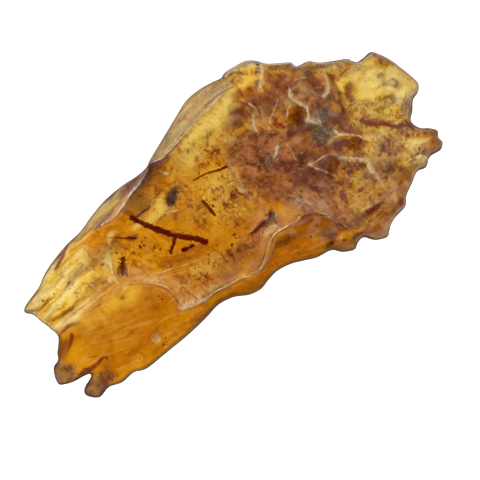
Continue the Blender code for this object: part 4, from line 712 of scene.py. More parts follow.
# Where the resin is flecked and uneven: less so past the scar, in the windows and over what is sealed in it
lively = zone(
    (3, 5, 12, 9, 0, 1.0), (20, 0, 13, 16, 0, 1.0), (34, -9, 7, 6, 0, 1.0), (-9, -6.8, 8, 2.8, -6, 1.0),
    (-19, 5, 4.5, 5.5, 30, 0.7), (-28, 6, 10, 5, 6, 0.6), (-10, 9.4, 5, 3, 10, 0.8), (36, 1, 7, 8, 0, 0.85),
    (5, 17, 24, 3, 14, 0.7), (-12, 1, 8, 5, 0, 0.4), (28, 12, 8, 3, -32, 0.9),
)
flecked_toes = zone((-40, -6.5, 3, 3, 0, 0.8), (-36, -11.5, 4, 2, 0, 0.8))
windows = zone(
    (35.2, -10.9, 1.8, 1.9, 0, 0.7), (37.2, 0.6, 3.6, 3.0, 100, 0.75), (34.4, 3.6, 3.0, 2.6, 0, 0.6),
)
lively = np.maximum(lively * (1 - 0.75 * soft_step(past_scar)), flecked_toes)
lively = np.maximum(lively, 0.14) * (1 - windows) * (1 - 0.75 * over_inclusion)
# Where bright flecks catch the light, painted as highlights in the colour, and where streaks run along the
# ribs and the bevel
lit = zone(
    (3, 12.8, 8, 4.2, 18, 1.0), (2, 3, 7, 7, 0, 0.7), (36, 0, 8, 8, 0, 1.0), (28, -6, 6, 4, 0, 0.7),
    (22, -12, 6, 7, 0, 0.5), (-31, 5, 9, 5, 5, 0.7), (-9, 7.6, 5, 2.4, 10, 0.8), (17, 18, 6, 3, 0, 0.8),
    (-10, -5.5, 7, 2.5, -5, 0.6), (13, 9, 3, 4, 0, 0.7), (-18, 2, 5, 6, 0, 0.5), (28, 12, 8, 2, -32, 0.7),
    (14, -15, 4, 2.5, 0, 0.6), (5, 18, 11, 2.4, 10, 0.8), (-18, 12.6, 8, 1.4, 10, 0.6),
    (-25, -3, 9, 3, 0, 0.3),
)
ribbed = soft_step(-past_bevel + 1) * soft_step((-20 - east) / 6) * soft_step(north + 0.5)
ribbed = np.maximum(ribbed, 0.9 * soft_step(past_bevel + 0.5))
# How waxy the surface is: in the crust, the stains and the older resin, beside the ridge, and at the rim
# Nearness of the outline: it makes the rim waxy, and the material darkens it there as painted shade, a thin
# dark line
rim = np.exp(-((to_edge / 0.5) ** 2))
haze = 0.03 + 0.04 * soft_step((east + 6) / 4) + 0.6 * crust + 0.1 * pale + 0.35 * grey + 0.4 * stain
haze = haze + 0.16 * lively * soft_step((east + 16) / 12 + 0.3)
haze = haze * (1 - 0.25 * soft_step(past_scar)) * (1 - 0.85 * over_inclusion)
haze = haze + 0.3 * olive + (0.16 + 0.25 * brown) * soft_step(past_bevel + 0.6)
waxy_spots = zone(
    (-37.0, 6.4, 2.6, 0.9, 5, 0.5), (-6.0, 15.0, 3.0, 1.0, 10, 0.5), (36.2, -11.3, 2.8, 2.0, 0, 0.25),
    (37.6, 1.4, 3.6, 3.2, 0, 0.36), (12.2, 12.8, 2.6, 1.6, 0, 0.4), (13.4, -13.4, 2.6, 2.2, -30, 0.3),
)
beside_ridge = 0.5 * soft_step((east + 20) / 8) * np.exp(-((past_bevel + 0.3) ** 2))
low_right_edge = 0.8 * soft_step(1.9 - to_edge) * soft_step((east - 9) / 4) * soft_step(-north / 6)
haze = np.max([haze, waxy_spots, beside_ridge, low_right_edge, 0.75 * frost_and_sheen, 2.0 * rim], axis=0)
# Fine relief: creases and swells in the crust, furrows along the ribs, raised white lines, sunken cracks
lumpy = zone(
    (19, 3, 12, 13, 0, 1.0), (24, -12, 9, 7, 0, 1.0), (34, -10, 7, 5, 0, 0.9), (17, 17, 5, 3, 0, 0.7),
    (12, -7, 6, 3.5, 0, 0.7), (36, 1, 6, 7, 0, 0.25), (14, -15, 4, 3, 0, 0.6),
)
grain = mottle(plan, 0.9, 5) * 0.5 + mottle(plan, 0.45, 6) * 0.5
creases = 0.5 - np.abs(mottle(plan + 0.5 * (bent - plan), 1.9, 51))
small_creases = 0.5 - np.abs(mottle(plan, 1.0, 52))
furrows = mottle(plan * np.array([0.16, 1.0]) + np.array([0, -0.1]) * plan[..., :1], 0.9, 55)
fine = lumpy * (0.30 * mottle(plan, 3.0, 53) + 0.42 * creases + 0.18 * small_creases + 0.07 * grain)
# The relief, raised by 0.4, for the material to paint shade in its creases and highlight on its crests
shade_by_relief = 0.40 + fine
fine = fine + 0.05 * (1 - lumpy) * mottle(plan, 1.6, 54) * (1 - 0.6 * soft_step(past_scar)) + 0.01 * grain
fine = fine + 0.10 * ribbed * furrows + 0.14 * web**3 - 0.10 * crack**2
# Both faces: the underside lands softly on its flat spot, and the two meet in the outline
top_face = np.minimum(top * lift + fine * soft_step(to_edge), HEIGHT)
under_face = (under * lift + np.sqrt((under * lift) ** 2 + 0.35)) / 2
under_face = np.maximum(under_face - under_face.min(), 0)
under_face = under_face + 0.04 * grain * soft_step(under_face / 0.4)
under_face = np.clip(under_face, 0, top_face - 0.05)
on_edge = np.zeros(top.shape, bool)
on_edge[[0, -1]] = on_edge[:, [0, -1]] = True
top_face[on_edge] = (top * lift)[on_edge]

# Faces: the underside has a point for every second one of the top, and its outermost cells take in the
# top's points halfway along their edges, so that nothing is open between the two
numbers = np.arange(top.size).reshape(top.shape)
corner_rows = (numbers[:-1, :-1], numbers[1:, :-1], numbers[1:, 1:], numbers[:-1, 1:])
top_quads = np.stack(corner_rows, axis=-1).reshape(-1, 4)
inner = under_face[2:-2:2, 2:-2:2]
below = numbers[::2, ::2].copy()
below[1:-1, 1:-1] = top.size + np.arange(inner.size).reshape(inner.shape)
cells = np.stack([below[:-1, :-1], below[:-1, 1:], below[1:, 1:], below[1:, :-1]], axis=-1)
low_faces = [cells[1:-1, 1:-1].reshape(-1, 4)]
sides = ((cells[0, 1:-1], numbers[0, 3:-3:2], 0), (cells[1:-1, -1], numbers[3:-3:2, -1], 1),
         (cells[-1, 1:-1], numbers[-1, 3:-3:2], 2), (cells[1:-1, 0], numbers[3:-3:2, 0], 3))
for row, halfway, edge_of_cell in sides:
    low_faces.append(np.insert(row, edge_of_cell + 1, halfway, axis=1))
for i, j, first, second in ((0, 0, 0, 3), (0, -1, 0, 1), (-1, -1, 1, 2), (-1, 0, 2, 3)):
    halfway = {0: numbers[0, 2 * (j % len(cells[0])) + 1], 1: numbers[2 * (i % len(cells)) + 1, -1],
               2: numbers[-1, 2 * (j % len(cells[0])) + 1], 3: numbers[2 * (i % len(cells)) + 1, 0]}
    corner = np.insert(cells[i, j], second + 1, halfway[second])
    low_faces.append(np.insert(corner, first + 1, halfway[first])[None])
points = np.concatenate([np.dstack([plan, top_face]).reshape(-1, 3),
                         np.dstack([plan[2:-2:2, 2:-2:2], inner]).reshape(-1, 3)])


# What the material reads of the shape, and how much of it shows on the underside
masks = {
    "yellow": yellow, "pale": pale, "deep": deep, "brown": brown, "crust": crust, "grey": grey,
    "olive": olive, "stain": stain, "frost_and_sheen": frost_and_sheen, "web": web, "web_side": web_side, "crack": crack,
    "crack_side": crack_side, "lively": lively, "lit": lit, "shade_by_relief": shade_by_relief, "ribbed": ribbed,
    "bevel_off": 0.5 + past_bevel / 10, "rim": rim, "haze": haze, "below": np.zeros(top.shape),
}
shown_below = {
    "yellow": 0.9, "pale": 0.8, "deep": 0.9, "crust": 0.5, "haze": 0.7, "ribbed": 0.4, "brown": 0.3,
    "stain": 0.2, "web": 0.0, "crack": 0.0, "frost_and_sheen": 0.0, "lively": 0.5, "lit": 0.5, "shade_by_relief": 0.4,
}


def mask_of(tree, name):
    """Output that reads one of the piece's masks."""
    return add_node(tree, "ShaderNodeAttribute", {}, attribute_name=name).outputs["Fac"]


def place_in_mm(tree, stretch=(1, 1, 1), turn=0.0):
    """Output with the place on the piece in millimetres, turned and stretched, for a texture to be read
    at."""
    place = add_node(tree, "ShaderNodeTexCoord", {}).outputs["Object"]
    size = tuple(1 / (MM * factor) for factor in stretch)
    turned = add_node(tree, "ShaderNodeMapping", {"Vector": place, "Rotation": (0, 0, np.radians(-turn))})
    return add_node(tree, "ShaderNodeMapping", {"Vector": turned.outputs[0], "Scale": size}).outputs[0]


def noise(tree, place, size, detail=3.0, warp=0.0, fineness=0.5):
    """Output of an uneven field from 0 to 1, its swells about as long as the size."""
    inputs = {"Vector": place, "Scale": 1 / size, "Detail": detail, "Distortion": warp, "Roughness": fineness}
    return add_node(tree, "ShaderNodeTexNoise", inputs).outputs["Fac"]


def mixed_colour(tree, share, first, second, blend="MIX"):
    """Output of a colour mix. The share, first and second are numbers, colours or outputs."""
    colours = (value if isinstance(value, bpy.types.NodeSocket) else (*value, 1) for value in (first, second))
    inputs = dict(zip((0, 6, 7), (share, *colours)))
    settings = {"data_type": "RGBA", "blend_type": blend, "clamp_factor": True}
    return add_node(tree, "ShaderNodeMix", inputs, **settings).outputs[2]


def coated(tree, colour, coats):
    """Output of a colour after several coats over it. Each coat has its share, its colour and, where it
    isn't simply laid on, how it mixes."""
    for share, coat, *blend in coats:
        colour = mixed_colour(tree, share, colour, coat, *blend)
    return colour


def line_of(tree, name, inner, outer):
    """Output that is the nearness of a line from inner half widths off it inwards, and 0 beyond the outer
    ones."""
    off = worked(tree, "ABSOLUTE", worked(tree, "SUBTRACT", mask_of(tree, name + "_side"), 0.5))
    off = product(tree, off, ranged(tree, noise(tree, place_in_mm(tree), 1.3, 3.0), 0.38, 0.62, 0.6, 2.4))
    return product(tree, mask_of(tree, name), ranged(tree, off, inner / 8, outer / 8, 1.0, 0.0))


resin = bpy.data.materials.new("copal")
resin.use_nodes = True
tree = resin.node_tree
mask = {name: mask_of(tree, name) for name in masks}
here = place_in_mm(tree)
broad = noise(tree, here, 5.5, 3.0, 0.4)
swells = noise(tree, here, 3.2, 5.0, 0.6)
flecks = noise(tree, here, 0.8, 5.0, 0.6)
blots = noise(tree, here, 3.6, 2.0, 1.0)
mixture = noise(tree, here, 2.6, 5.0, 0.9, 0.8)
fibres = noise(tree, place_in_mm(tree, (0.34, 1.5, 1), 14), 1.6, 4.0, 0.9, 0.65)
streaks = noise(tree, place_in_mm(tree, (6, 1.1, 3), 6), 1.0, 4.0, 0.6)
wisps = noise(tree, place_in_mm(tree, (3.4, 0.7, 3), -14), 1.0, 4.0, 0.8, 0.6)
tone = worked(tree, "ADD", product(tree, mixture, 0.7), product(tree, fibres, 0.3))
folded = worked(tree, "ABSOLUTE", worked(tree, "SUBTRACT", noise(tree, here, 2.4, 3.0, 2.2), 0.5))
unpaled = ranged(tree, mask["pale"], 0.1, 0.5, 1.0, 0.0)
strands = product(tree, ranged(tree, folded, 0.0, 0.022, 1.0, 0.0), unpaled)
sideways = add_node(tree, "ShaderNodeCombineXYZ", {0: product(tree, mask["bevel_off"], 10.0), 1: 0.0, 2: 0.0})
layer_place = {0: place_in_mm(tree, (14, 14, 14)), 1: sideways.outputs[0]}
layers = add_node(tree, "ShaderNodeVectorMath", layer_place, operation="ADD").outputs[0]
layer_lines = noise(tree, layers, 0.6, 3.0, 0.0, 0.65)

# The crust's skin, with painted shade in the relief's creases and painted highlight on its crests, the older
# resin and the glassy grey patches, each with its own uneven colour
skin = coated(tree, (0.26, 0.050, 0.028), [
    (ranged(tree, tone, 0.44, 0.50, 0.0, 1.0), (0.66, 0.23, 0.095)),
    (ranged(tree, tone, 0.505, 0.57, 0.0, 1.0), (0.88, 0.42, 0.16)),
    (ranged(tree, swells, 0.46, 0.60, 0.0, 0.7), (0.55, 0.30, 0.17), "MULTIPLY"),
    (ranged(tree, broad, 0.52, 0.60, 0.0, 0.7), (0.60, 0.20, 0.02)),
    # Painted shade in the relief's creases and painted highlight on its crests
    (ranged(tree, mask["shade_by_relief"], 0.42, 0.16, 0.0, 0.8), (0.40, 0.18, 0.10), "MULTIPLY"),
    (ranged(tree, mask["shade_by_relief"], 0.54, 0.74, 0.0, 0.6), (0.92, 0.62, 0.42)),
    (product(tree, strands, ranged(tree, flecks, 0.45, 0.55, 0.0, 0.9)), (0.95, 0.74, 0.56)),
])
lighter = ranged(tree, tone, 0.45, 0.56, 0.0, 1.0)
murky = mixed_colour(tree, lighter, (0.12, 0.040, 0.003), (0.40, 0.20, 0.025))
smoky = mixed_colour(tree, lighter, (0.16, 0.125, 0.125), (0.52, 0.44, 0.42))

# The clear resin: yellow, deep or brown, then its swells, wisps, bright flecks and creamy spots painted as
# highlights, dark flecks, windows, painted shade in the relief's hollows and painted highlight on its crests,
# threads, grooves along the ribs and layers across the bevel
unlit = ranged(tree, mask["lit"], 0.0, 1.0, 0.5, 0.15)
# Painted highlights: bright flecks and creamy spots where the resin catches the light
bright = product(tree, ranged(tree, tone, 0.50, 0.56, 0.0, 0.9), mask["lit"], mask["lively"])
rarer = worked(tree, "ADD", tone, product(tree, mask["yellow"], 0.016))
dark = product(tree, ranged(tree, rarer, 0.485, 0.43, 0.0, 1.0), mask["lively"])
creamy_highlight = product(tree, mask["lit"], mask["yellow"], ranged(tree, blots, 0.52, 0.64, 0.0, 0.7))
dotted = product(tree, ranged(tree, flecks, 0.57, 0.66, 0.0, 0.8), mask["lively"])
grooved = product(tree, mask["ribbed"], ranged(tree, streaks, 0.48, 0.62, 0.0, 0.55))
on_bevel = ranged(tree, mask["bevel_off"], 0.5, 0.56, 0.0, 1.0)
layered = product(tree, on_bevel, ranged(tree, layer_lines, 0.51, 0.62, 0.0, 0.45))
tint = coated(tree, (0.78, 0.41, 0.002), [
    (mask["yellow"], (1.0, 0.86, 0.18)),
    (mask["deep"], (0.58, 0.215, 0.0)),
    (mask["brown"], (0.27, 0.070, 0.010)),
    (product(tree, ranged(tree, broad, 0.42, 0.62, 0.0, 1.0), unlit), (0.80, 0.62, 0.42), "MULTIPLY"),
    (product(tree, ranged(tree, swells, 0.48, 0.64, 0.0, 1.0), unlit), (0.66, 0.44, 0.26), "MULTIPLY"),
    (ranged(tree, wisps, 0.50, 0.64, 0.0, 0.30), (0.74, 0.60, 0.30), "MULTIPLY"),
    (ranged(tree, wisps, 0.48, 0.36, 0.0, 0.16), (1.0, 0.80, 0.30)),
    # Painted highlight of the bright flecks
    (bright, (1.0, 0.88, 0.36)),
    (dark, (0.42, 0.09, 0.010), "MULTIPLY"),
    (product(tree, mask["lit"], ranged(tree, blots, 0.49, 0.36, 0.0, 0.7)), (0.72, 0.46, 0.18), "MULTIPLY"),
    # Painted highlight of the creamy spots
    (creamy_highlight, (1.0, 0.92, 0.50)),
    (product(tree, mask["pale"], ranged(tree, tone, 0.42, 0.50, 0.55, 1.0)), (1.0, 0.94, 0.60)),
    # Painted shade in the relief's hollows and painted highlight on its crests
    (ranged(tree, mask["shade_by_relief"], 0.42, 0.24, 0.0, 0.8), (0.46, 0.16, 0.04), "MULTIPLY"),
    (ranged(tree, mask["shade_by_relief"], 0.56, 0.78, 0.0, 0.4), (1.0, 0.86, 0.46)),
    (dotted, (0.46, 0.15, 0.04), "MULTIPLY"),
    (product(tree, mask["lively"], strands, 0.5), (0.50, 0.30, 0.18), "MULTIPLY"),
    (grooved, (0.55, 0.40, 0.26), "MULTIPLY"),
    (layered, (0.60, 0.38, 0.18), "MULTIPLY"),
    (product(tree, on_bevel, ranged(tree, layer_lines, 0.50, 0.39, 0.0, 0.8)), (1.0, 0.86, 0.42)),
])

# Over it: crust, older resin, grey glass, stains, cracks, painted shade beside the white lines, these lines
# with their painted highlight, the milky spots with their painted sheen, and painted shade along the rim
stained = product(tree, mask["stain"], ranged(tree, tone, 0.56, 0.44, 0.7, 1.1))
shaded = product(tree, mask["web"], ranged(tree, mask["web_side"], 0.42, 0.28, 0.0, 0.85))
broken = product(tree, ranged(tree, flecks, 0.38, 0.55, 0.6, 1.0), ranged(tree, swells, 0.40, 0.52, 0.6, 1.0))
# The white lines: rubbed waxy ridges and lips, their pale colour a painted highlight
worn_and_highlit = ranged(tree, product(tree, line_of(tree, "web", 0.2, 1.7), broken), 0.05, 0.70, 0.0, 0.95)
worn_and_highlit = worked(tree, "MAXIMUM", worn_and_highlit, product(tree, line_of(tree, "web", 0.0, 3.4), 0.3))
tint = coated(tree, tint, [
    (mask["crust"], skin),
    (mask["olive"], murky),
    (mask["grey"], smoky),
    (ranged(tree, stained, 0.0, 0.85, 0.0, 1.0), (0.27, 0.040, 0.010)),
    (line_of(tree, "crack", 0.6, 2.0), (0.26, 0.030, 0.006)),
    (shaded, (0.34, 0.22, 0.18), "MULTIPLY"),
    # Painted highlight along the rubbed ridges and lips
    (worn_and_highlit, (1.0, 0.91, 0.84)),
    # Milky bruised spots with painted sheen
    (product(tree, mask["frost_and_sheen"], ranged(tree, tone, 0.45, 0.53, 0.1, 1.0)), (0.98, 0.84, 0.68)),
    # Painted shade: a thin dark line along the outline
    (mask["rim"], (0.14, 0.05, 0.02), "MULTIPLY"),
])

# Two surfaces: glassy where the resin broke, and waxy, only half see-through, where it is hazy or rubbed
clear = tree.nodes["Principled BSDF"]
clear.inputs["Transmission Weight"].default_value = 1.0
clear.inputs["IOR"].default_value = 1.54
passed = mixed_colour(tree, product(tree, mask["below"], 0.8), tint, (0.98, 0.92, 0.70))
tree.links.new(mixed_colour(tree, 1.0, passed, passed, "MULTIPLY"), clear.inputs["Base Color"])
dull = worked(tree, "MAXIMUM", mask["crust"], mask["below"])
dull = worked(tree, "MAXIMUM", dull, product(tree, mask["brown"], 0.6))
tree.links.new(ranged(tree, dull, 0.0, 1.0, 0.025, 0.36), clear.inputs["Roughness"])
waxy = add_node(tree, "ShaderNodeBsdfPrincipled", {
    "Base Color": mixed_colour(tree, 0.55, tint, mixed_colour(tree, 1.0, tint, tint, "MULTIPLY")),
    "Roughness": ranged(tree, mask["rim"], 0.0, 0.8, 0.45, 0.9),
    "Coat Weight": ranged(tree, mask["rim"], 0.0, 0.12, 0.3, 0.0),
    "Specular IOR Level": 0.0, "Transmission Weight": 0.48, "IOR": 1.54, "Coat Roughness": 0.1,
})
relief = worked(tree, "ADD", product(tree, tone, 1.4), product(tree, strands, 0.12))
relief = product(tree, relief, ranged(tree, mask["lively"], 0.1, 0.9, 0.06, 1.0))
bumps = add_node(tree, "ShaderNodeBump", {"Height": relief, "Strength": 0.6, "Distance": 0.3 * MM})
for shader in (clear, waxy):
    tree.links.new(bumps.outputs[0], shader.inputs["Normal"])
frosted = worked(tree, "MAXIMUM", mask["haze"], product(tree, worn_and_highlit, 0.95))
both = add_node(tree, "ShaderNodeMixShader", {0: frosted, 1: clear.outputs[0], 2: waxy.outputs[0]})
tree.links.new(both.outputs[0], tree.nodes["Material Output"].inputs["Surface"])
absorbing = add_node(tree, "ShaderNodeVolumeAbsorption", {"Color": (0.95, 0.82, 0.0, 1), "Density": 60.0})
tree.links.new(absorbing.outputs[0], tree.nodes["Material Output"].inputs["Volume"])

copal = add_mesh("copal", points, [top_quads] + low_faces, resin)
ends = np.zeros(2 * len(copal.data.edges), int)
copal.data.edges.foreach_get("vertices", ends)
along_outline = np.append(on_edge.ravel(), np.zeros(inner.size, bool))[ends.reshape(-1, 2)].all(axis=1)
copal.data.edges.foreach_set("use_edge_sharp", along_outline)
for name, values in masks.items():
    low = shown_below.get(name, 1.0) * values[2:-2:2, 2:-2:2].ravel() + (name == "below")
    add_mask(copal, name, np.concatenate([values.ravel(), low]))
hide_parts("copal_upper", "copal_lower")
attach(copal, "root")


# The twig: a dry maroon stem with a short side shoot, caught in the sticky resin and grown over by the next
# flow. It lies along the sheet between the two flows. Its bark is wrinkled lengthways and swells at old leaf
# marks.
def sheet_height(x, y):
    """Heights of the sheet between the flows at one or more places, in millimetres."""
    places = np.stack(np.broadcast_arrays(x, y), axis=-1).reshape(1, -1, 2).astype(float)
    return lump_heights(places, edge)[2][0] * lift


def along_path(route, half_wide, half_high, sides=10, wrinkle=0.0):
    """Closed bar along a route: round each route point a ring of an ellipse with the level and the upright
    half size given for it, less a share of them by noise, and one more point at each end. Gives points,
    quads and triangles."""
    route = np.array(route, float)
    half_wide, half_high = np.broadcast_to(half_wide, len(route)), np.broadcast_to(half_high, len(route))
    direction = np.gradient(route, axis=0)
    direction = direction / np.linalg.norm(direction, axis=1, keepdims=True)
    aside = np.cross(direction, (0.0, 0.0, 1.0))
    aside = aside / np.linalg.norm(aside, axis=1, keepdims=True)
    above = np.cross(aside, direction)
    angle = 2 * np.pi * np.arange(sides) / sides
    station, turn = np.meshgrid(np.arange(len(route)), angle, indexing="ij")
    size = 1 + wrinkle * mottle(np.stack([station / 3.0, 3 * np.cos(turn) + 20], -1), 1.0, 71)
    level = np.cos(angle)[None, :, None] * (half_wide[:, None] * size)[..., None] * aside[:, None]
    upright = np.sin(angle)[None, :, None] * (half_high[:, None] * size)[..., None] * above[:, None]
    tips = route[[0, -1]] + direction[[0, -1]] * np.array([[-0.4], [0.4]]) * half_high[[0, -1]][:, None]
    points = np.concatenate([(route[:, None] + level + upright).reshape(-1, 3), tips])
    numbers = np.arange(len(route) * sides).reshape(len(route), sides)
    after = np.roll(numbers, -1, axis=1)
    quads = np.stack([numbers[:-1], numbers[1:], after[1:], after[:-1]], axis=-1).reshape(-1, 4)
    start, end = np.full(sides, len(points) - 2), np.full(sides, len(points) - 1)
    caps = [np.stack([start, numbers[0], after[0]], axis=1), np.stack([end, after[-1], numbers[-1]], axis=1)]
    return points, quads, np.concatenate(caps)


def joined(parts):
    """Points, quads, triangles and tones of several parts as those of one piece."""
    offsets = np.cumsum([0] + [len(part[0]) for part in parts[:-1]])
    points = np.concatenate([part[0] for part in parts])
    quads, triangles = (
        np.concatenate([part[k] + step for part, step in zip(parts, offsets)]) for k in (1, 2)
    )
    return points, quads, triangles, np.concatenate([np.full(len(part[0]), part[3]) for part in parts])


def bark_strip(route, half_sizes, steps, wrinkle):
    """Bar with bark along a route in the sheet: its half size goes evenly from the first to the second, and
    is a fifth more at leaf marks some two millimetres apart."""
    spine = smooth_route(route, steps)
    spine = np.column_stack([spine, sheet_height(*spine.T)])
    travelled = np.concatenate([[0], np.cumsum(np.linalg.norm(np.diff(spine, axis=0), axis=1))])
    leaf_marks = np.exp(-((travelled % 2.1 - 1.0) / 0.22) ** 2)
    half = np.interp(travelled, (0, travelled[-1]), half_sizes) * (1 + 0.2 * leaf_marks)
    return along_path(spine, half, half, 20, wrinkle)


def dry_skin_group():
    """Shader node group for bark, stalk and insect shell: fine noise lightens and darkens the tone between
    two colours, makes the gloss uneven and roughens the surface."""
    group = bpy.data.node_groups.new("dry_skin", "ShaderNodeTree")
    for name, kind in (("Tone", "Float"), ("Dark", "Color"), ("Light", "Color"), ("Roughness", "Float")):
        group.interface.new_socket(name, in_out="INPUT", socket_type="NodeSocket" + kind)
    for name, kind in (("Colour", "Color"), ("Roughness", "Float"), ("Normal", "Vector")):
        group.interface.new_socket(name, in_out="OUTPUT", socket_type="NodeSocket" + kind)
    given = group.nodes.new("NodeGroupInput").outputs
    grain = noise(group, place_in_mm(group), 0.35, 4.0, 0.3)
    share = worked(group, "ADD", given["Tone"], ranged(group, grain, 0.3, 0.7, -0.25, 0.25))
    rough = worked(group, "ADD", given["Roughness"], ranged(group, grain, 0.3, 0.7, -0.1, 0.1))
    relief = add_node(group, "ShaderNodeBump", {"Height": grain, "Strength": 0.4, "Distance": 0.05 * MM})
    colour = mixed_colour(group, share, given["Dark"], given["Light"])
    add_node(group, "NodeGroupOutput", {"Colour": colour, "Roughness": rough, "Normal": relief.outputs[0]})
    return group


dry_skin = dry_skin_group()


def shell_material(name, dark, light, roughness, wing=None):
    """Procedural material of a dry brown skin in its own two colours. Where the piece has wings, these are
    see-through and have their own colour."""
    material = bpy.data.materials.new(name)
    material.use_nodes = True
    tree = material.node_tree
    shader = tree.nodes["Principled BSDF"]
    skin = tree.nodes.new("ShaderNodeGroup")
    skin.node_tree = dry_skin
    skin.inputs["Dark"].default_value, skin.inputs["Light"].default_value = (*dark, 1), (*light, 1)
    skin.inputs["Roughness"].default_value = roughness
    tree.links.new(mask_of(tree, "tone"), skin.inputs["Tone"])
    colour = skin.outputs["Colour"]
    if wing:
        colour = mixed_colour(tree, mask_of(tree, "wing"), colour, wing)
        tree.links.new(ranged(tree, mask_of(tree, "wing"), 0.0, 1.0, 0.9, 0.4), shader.inputs["Alpha"])
    tree.links.new(colour, shader.inputs["Base Color"])
    tree.links.new(skin.outputs["Roughness"], shader.inputs["Roughness"])
    tree.links.new(skin.outputs["Normal"], shader.inputs["Normal"])
    return material


def add_inclusion(name, parts, material, wing_tone=None):
    """Adds one piece sealed in the resin from its parts and lets it stand for the part of the same name."""
    points, quads, triangles, tones = joined(parts)
    piece = add_mesh(name + "_in_detail", points, [quads, triangles], material)
    add_mask(piece, "tone", tones)
    if wing_tone:
        add_mask(piece, "wing", tones == wing_tone)
    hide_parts(name)
    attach(piece, "root")


twig_route = [(-13.5, 9.0), (-12.2, 6.8), (-11.0, 4.7), (-9.4, 2.4), (-7.8, 0.7), (-6.2, -0.9), (-5.0, -2.4)]
shoot_route = [(-9.1, 1.7), (-10.3, 0.8), (-11.7, -0.3)]
bark = shell_material("maroon_bark", (0.42, 0.012, 0.008), (0.92, 0.05, 0.03), 0.6)
twig_parts = [
    (*bark_strip(twig_route, (0.52, 0.48), 16, 0.22), 0.35),
    (*bark_strip(shoot_route, (0.36, 0.26), 14, 0.22), 0.5),
]
add_inclusion("twig", twig_parts, bark)


# The plant stem: a thin reddish dry stalk, a third of a millimetre thick at its thin end, caught in the
# same sheet.
stem_route = [(-0.8, 7.9), (1.0, 7.6), (2.6, 7.1), (4.4, 6.5), (6.2, 6.1)]
straw = shell_material("reddish_stalk", (0.45, 0.020, 0.010), (0.95, 0.09, 0.03), 0.7)
add_inclusion("plant_stem", [(*bark_strip(stem_route, (0.17, 0.29), 16, 0.22), 0.3)], straw)


# Specks and slivers: crumbs of bark, dust and short dark shreds of leaf stalk that stuck to each flow of
# resin before the next one covered it, so they lie close to the sheet between them. They are far too fine
# for solids.
def inside_outline(places):
    """1 for plan points inside the outline and -1 for those outside it."""
    x, y = places[:, :1], places[:, 1:]
    (x0, y0), (x1, y1) = edge.T, np.roll(edge, -1, axis=0).T
    crossed = ((y0 > y) != (y1 > y)) & (x < (x1 - x0) * (y - y0) / np.where(y1 == y0, 1, y1 - y0) + x0)
    return np.where(crossed.sum(axis=1) % 2 == 1, 1, -1)


def speck_cloud(clouds, seed):
    """Crumbs as rough twenty-sided balls: each corner of a ball is pushed in or out by chance. They lie
    about the middle of their cloud by the bell curve in plan, and from a millimetre under the sheet to a
    millimetre and a half over it."""
    rng = np.random.default_rng(seed)
    golden = (1 + 5**0.5) / 2
    ball = np.array([
        (-1, golden, 0), (1, golden, 0), (-1, -golden, 0), (1, -golden, 0), (0, -1, golden), (0, 1, golden),
        (0, -1, -golden), (0, 1, -golden), (golden, 0, -1), (golden, 0, 1), (-golden, 0, -1), (-golden, 0, 1),
    ])
    sides = np.array([
        (0, 11, 5), (0, 5, 1), (0, 1, 7), (0, 7, 10), (0, 10, 11), (1, 5, 9), (5, 11, 4), (11, 10, 2),
        (10, 7, 6), (7, 1, 8), (3, 9, 4), (3, 4, 2), (3, 2, 6), (3, 6, 8), (3, 8, 9), (4, 9, 5),
        (2, 4, 11), (6, 2, 10), (8, 6, 7), (9, 8, 1),
    ])
    middles = [rng.normal(0, 1, (count, 2)) * (long, wide) + (x, y) for x, y, long, wide, count in clouds]
    middles = np.concatenate(middles)
    middles = middles[distance_to(middles, np.vstack([edge, edge[:1]])) * inside_outline(middles) > 1.5]
    total = len(middles)
    heights = sheet_height(*middles.T) + rng.uniform(-1.0, 1.5, total)
    size = 0.04 + 0.09 * rng.random((total, 1, 1)) ** 2
    corners = ball * size * rng.uniform(0.6, 1.6, (total, 1, 3)) * rng.uniform(0.7, 1.3, (total, 12, 1))
    points = np.column_stack([middles, heights])[:, None] + corners
    triangles = (sides + 12 * np.arange(total)[:, None, None]).reshape(-1, 3)
    return points.reshape(-1, 3), np.zeros((0, 4), int), triangles, 0.4


dark_shreds = shell_material("maroon_shreds", (0.40, 0.020, 0.008), (0.85, 0.09, 0.02), 0.6)
shred_routes = [
    ([(-18.3, 8.1), (-17.0, 7.1), (-15.6, 6.2), (-14.9, 5.5)], (0.08, 0.22)),
    ([(1.8, -5.8), (3.2, -5.5), (4.4, -5.4), (5.4, -5.2)], (0.20, 0.32)),
    ([(-3.7, 4.2), (-3.4, 2.6), (-3.5, 1.2)], (0.10, 0.16)), ([(-4.6, 3.6), (-4.3, 2.2)], (0.08, 0.12)),
    ([(0.4, 3.4), (0.9, 2.4)], (0.10, 0.14)), ([(2.8, 1.4), (3.2, 0.4)], (0.12, 0.16)),
    ([(-2.9, -5.6), (-3.2, -7.4)], (0.22, 0.3)), ([(7.4, 0.6), (7.8, -0.8)], (0.12, 0.16)),
    ([(-12.4, 8.6), (-10.2, 8.5)], (0.16, 0.2)),
]
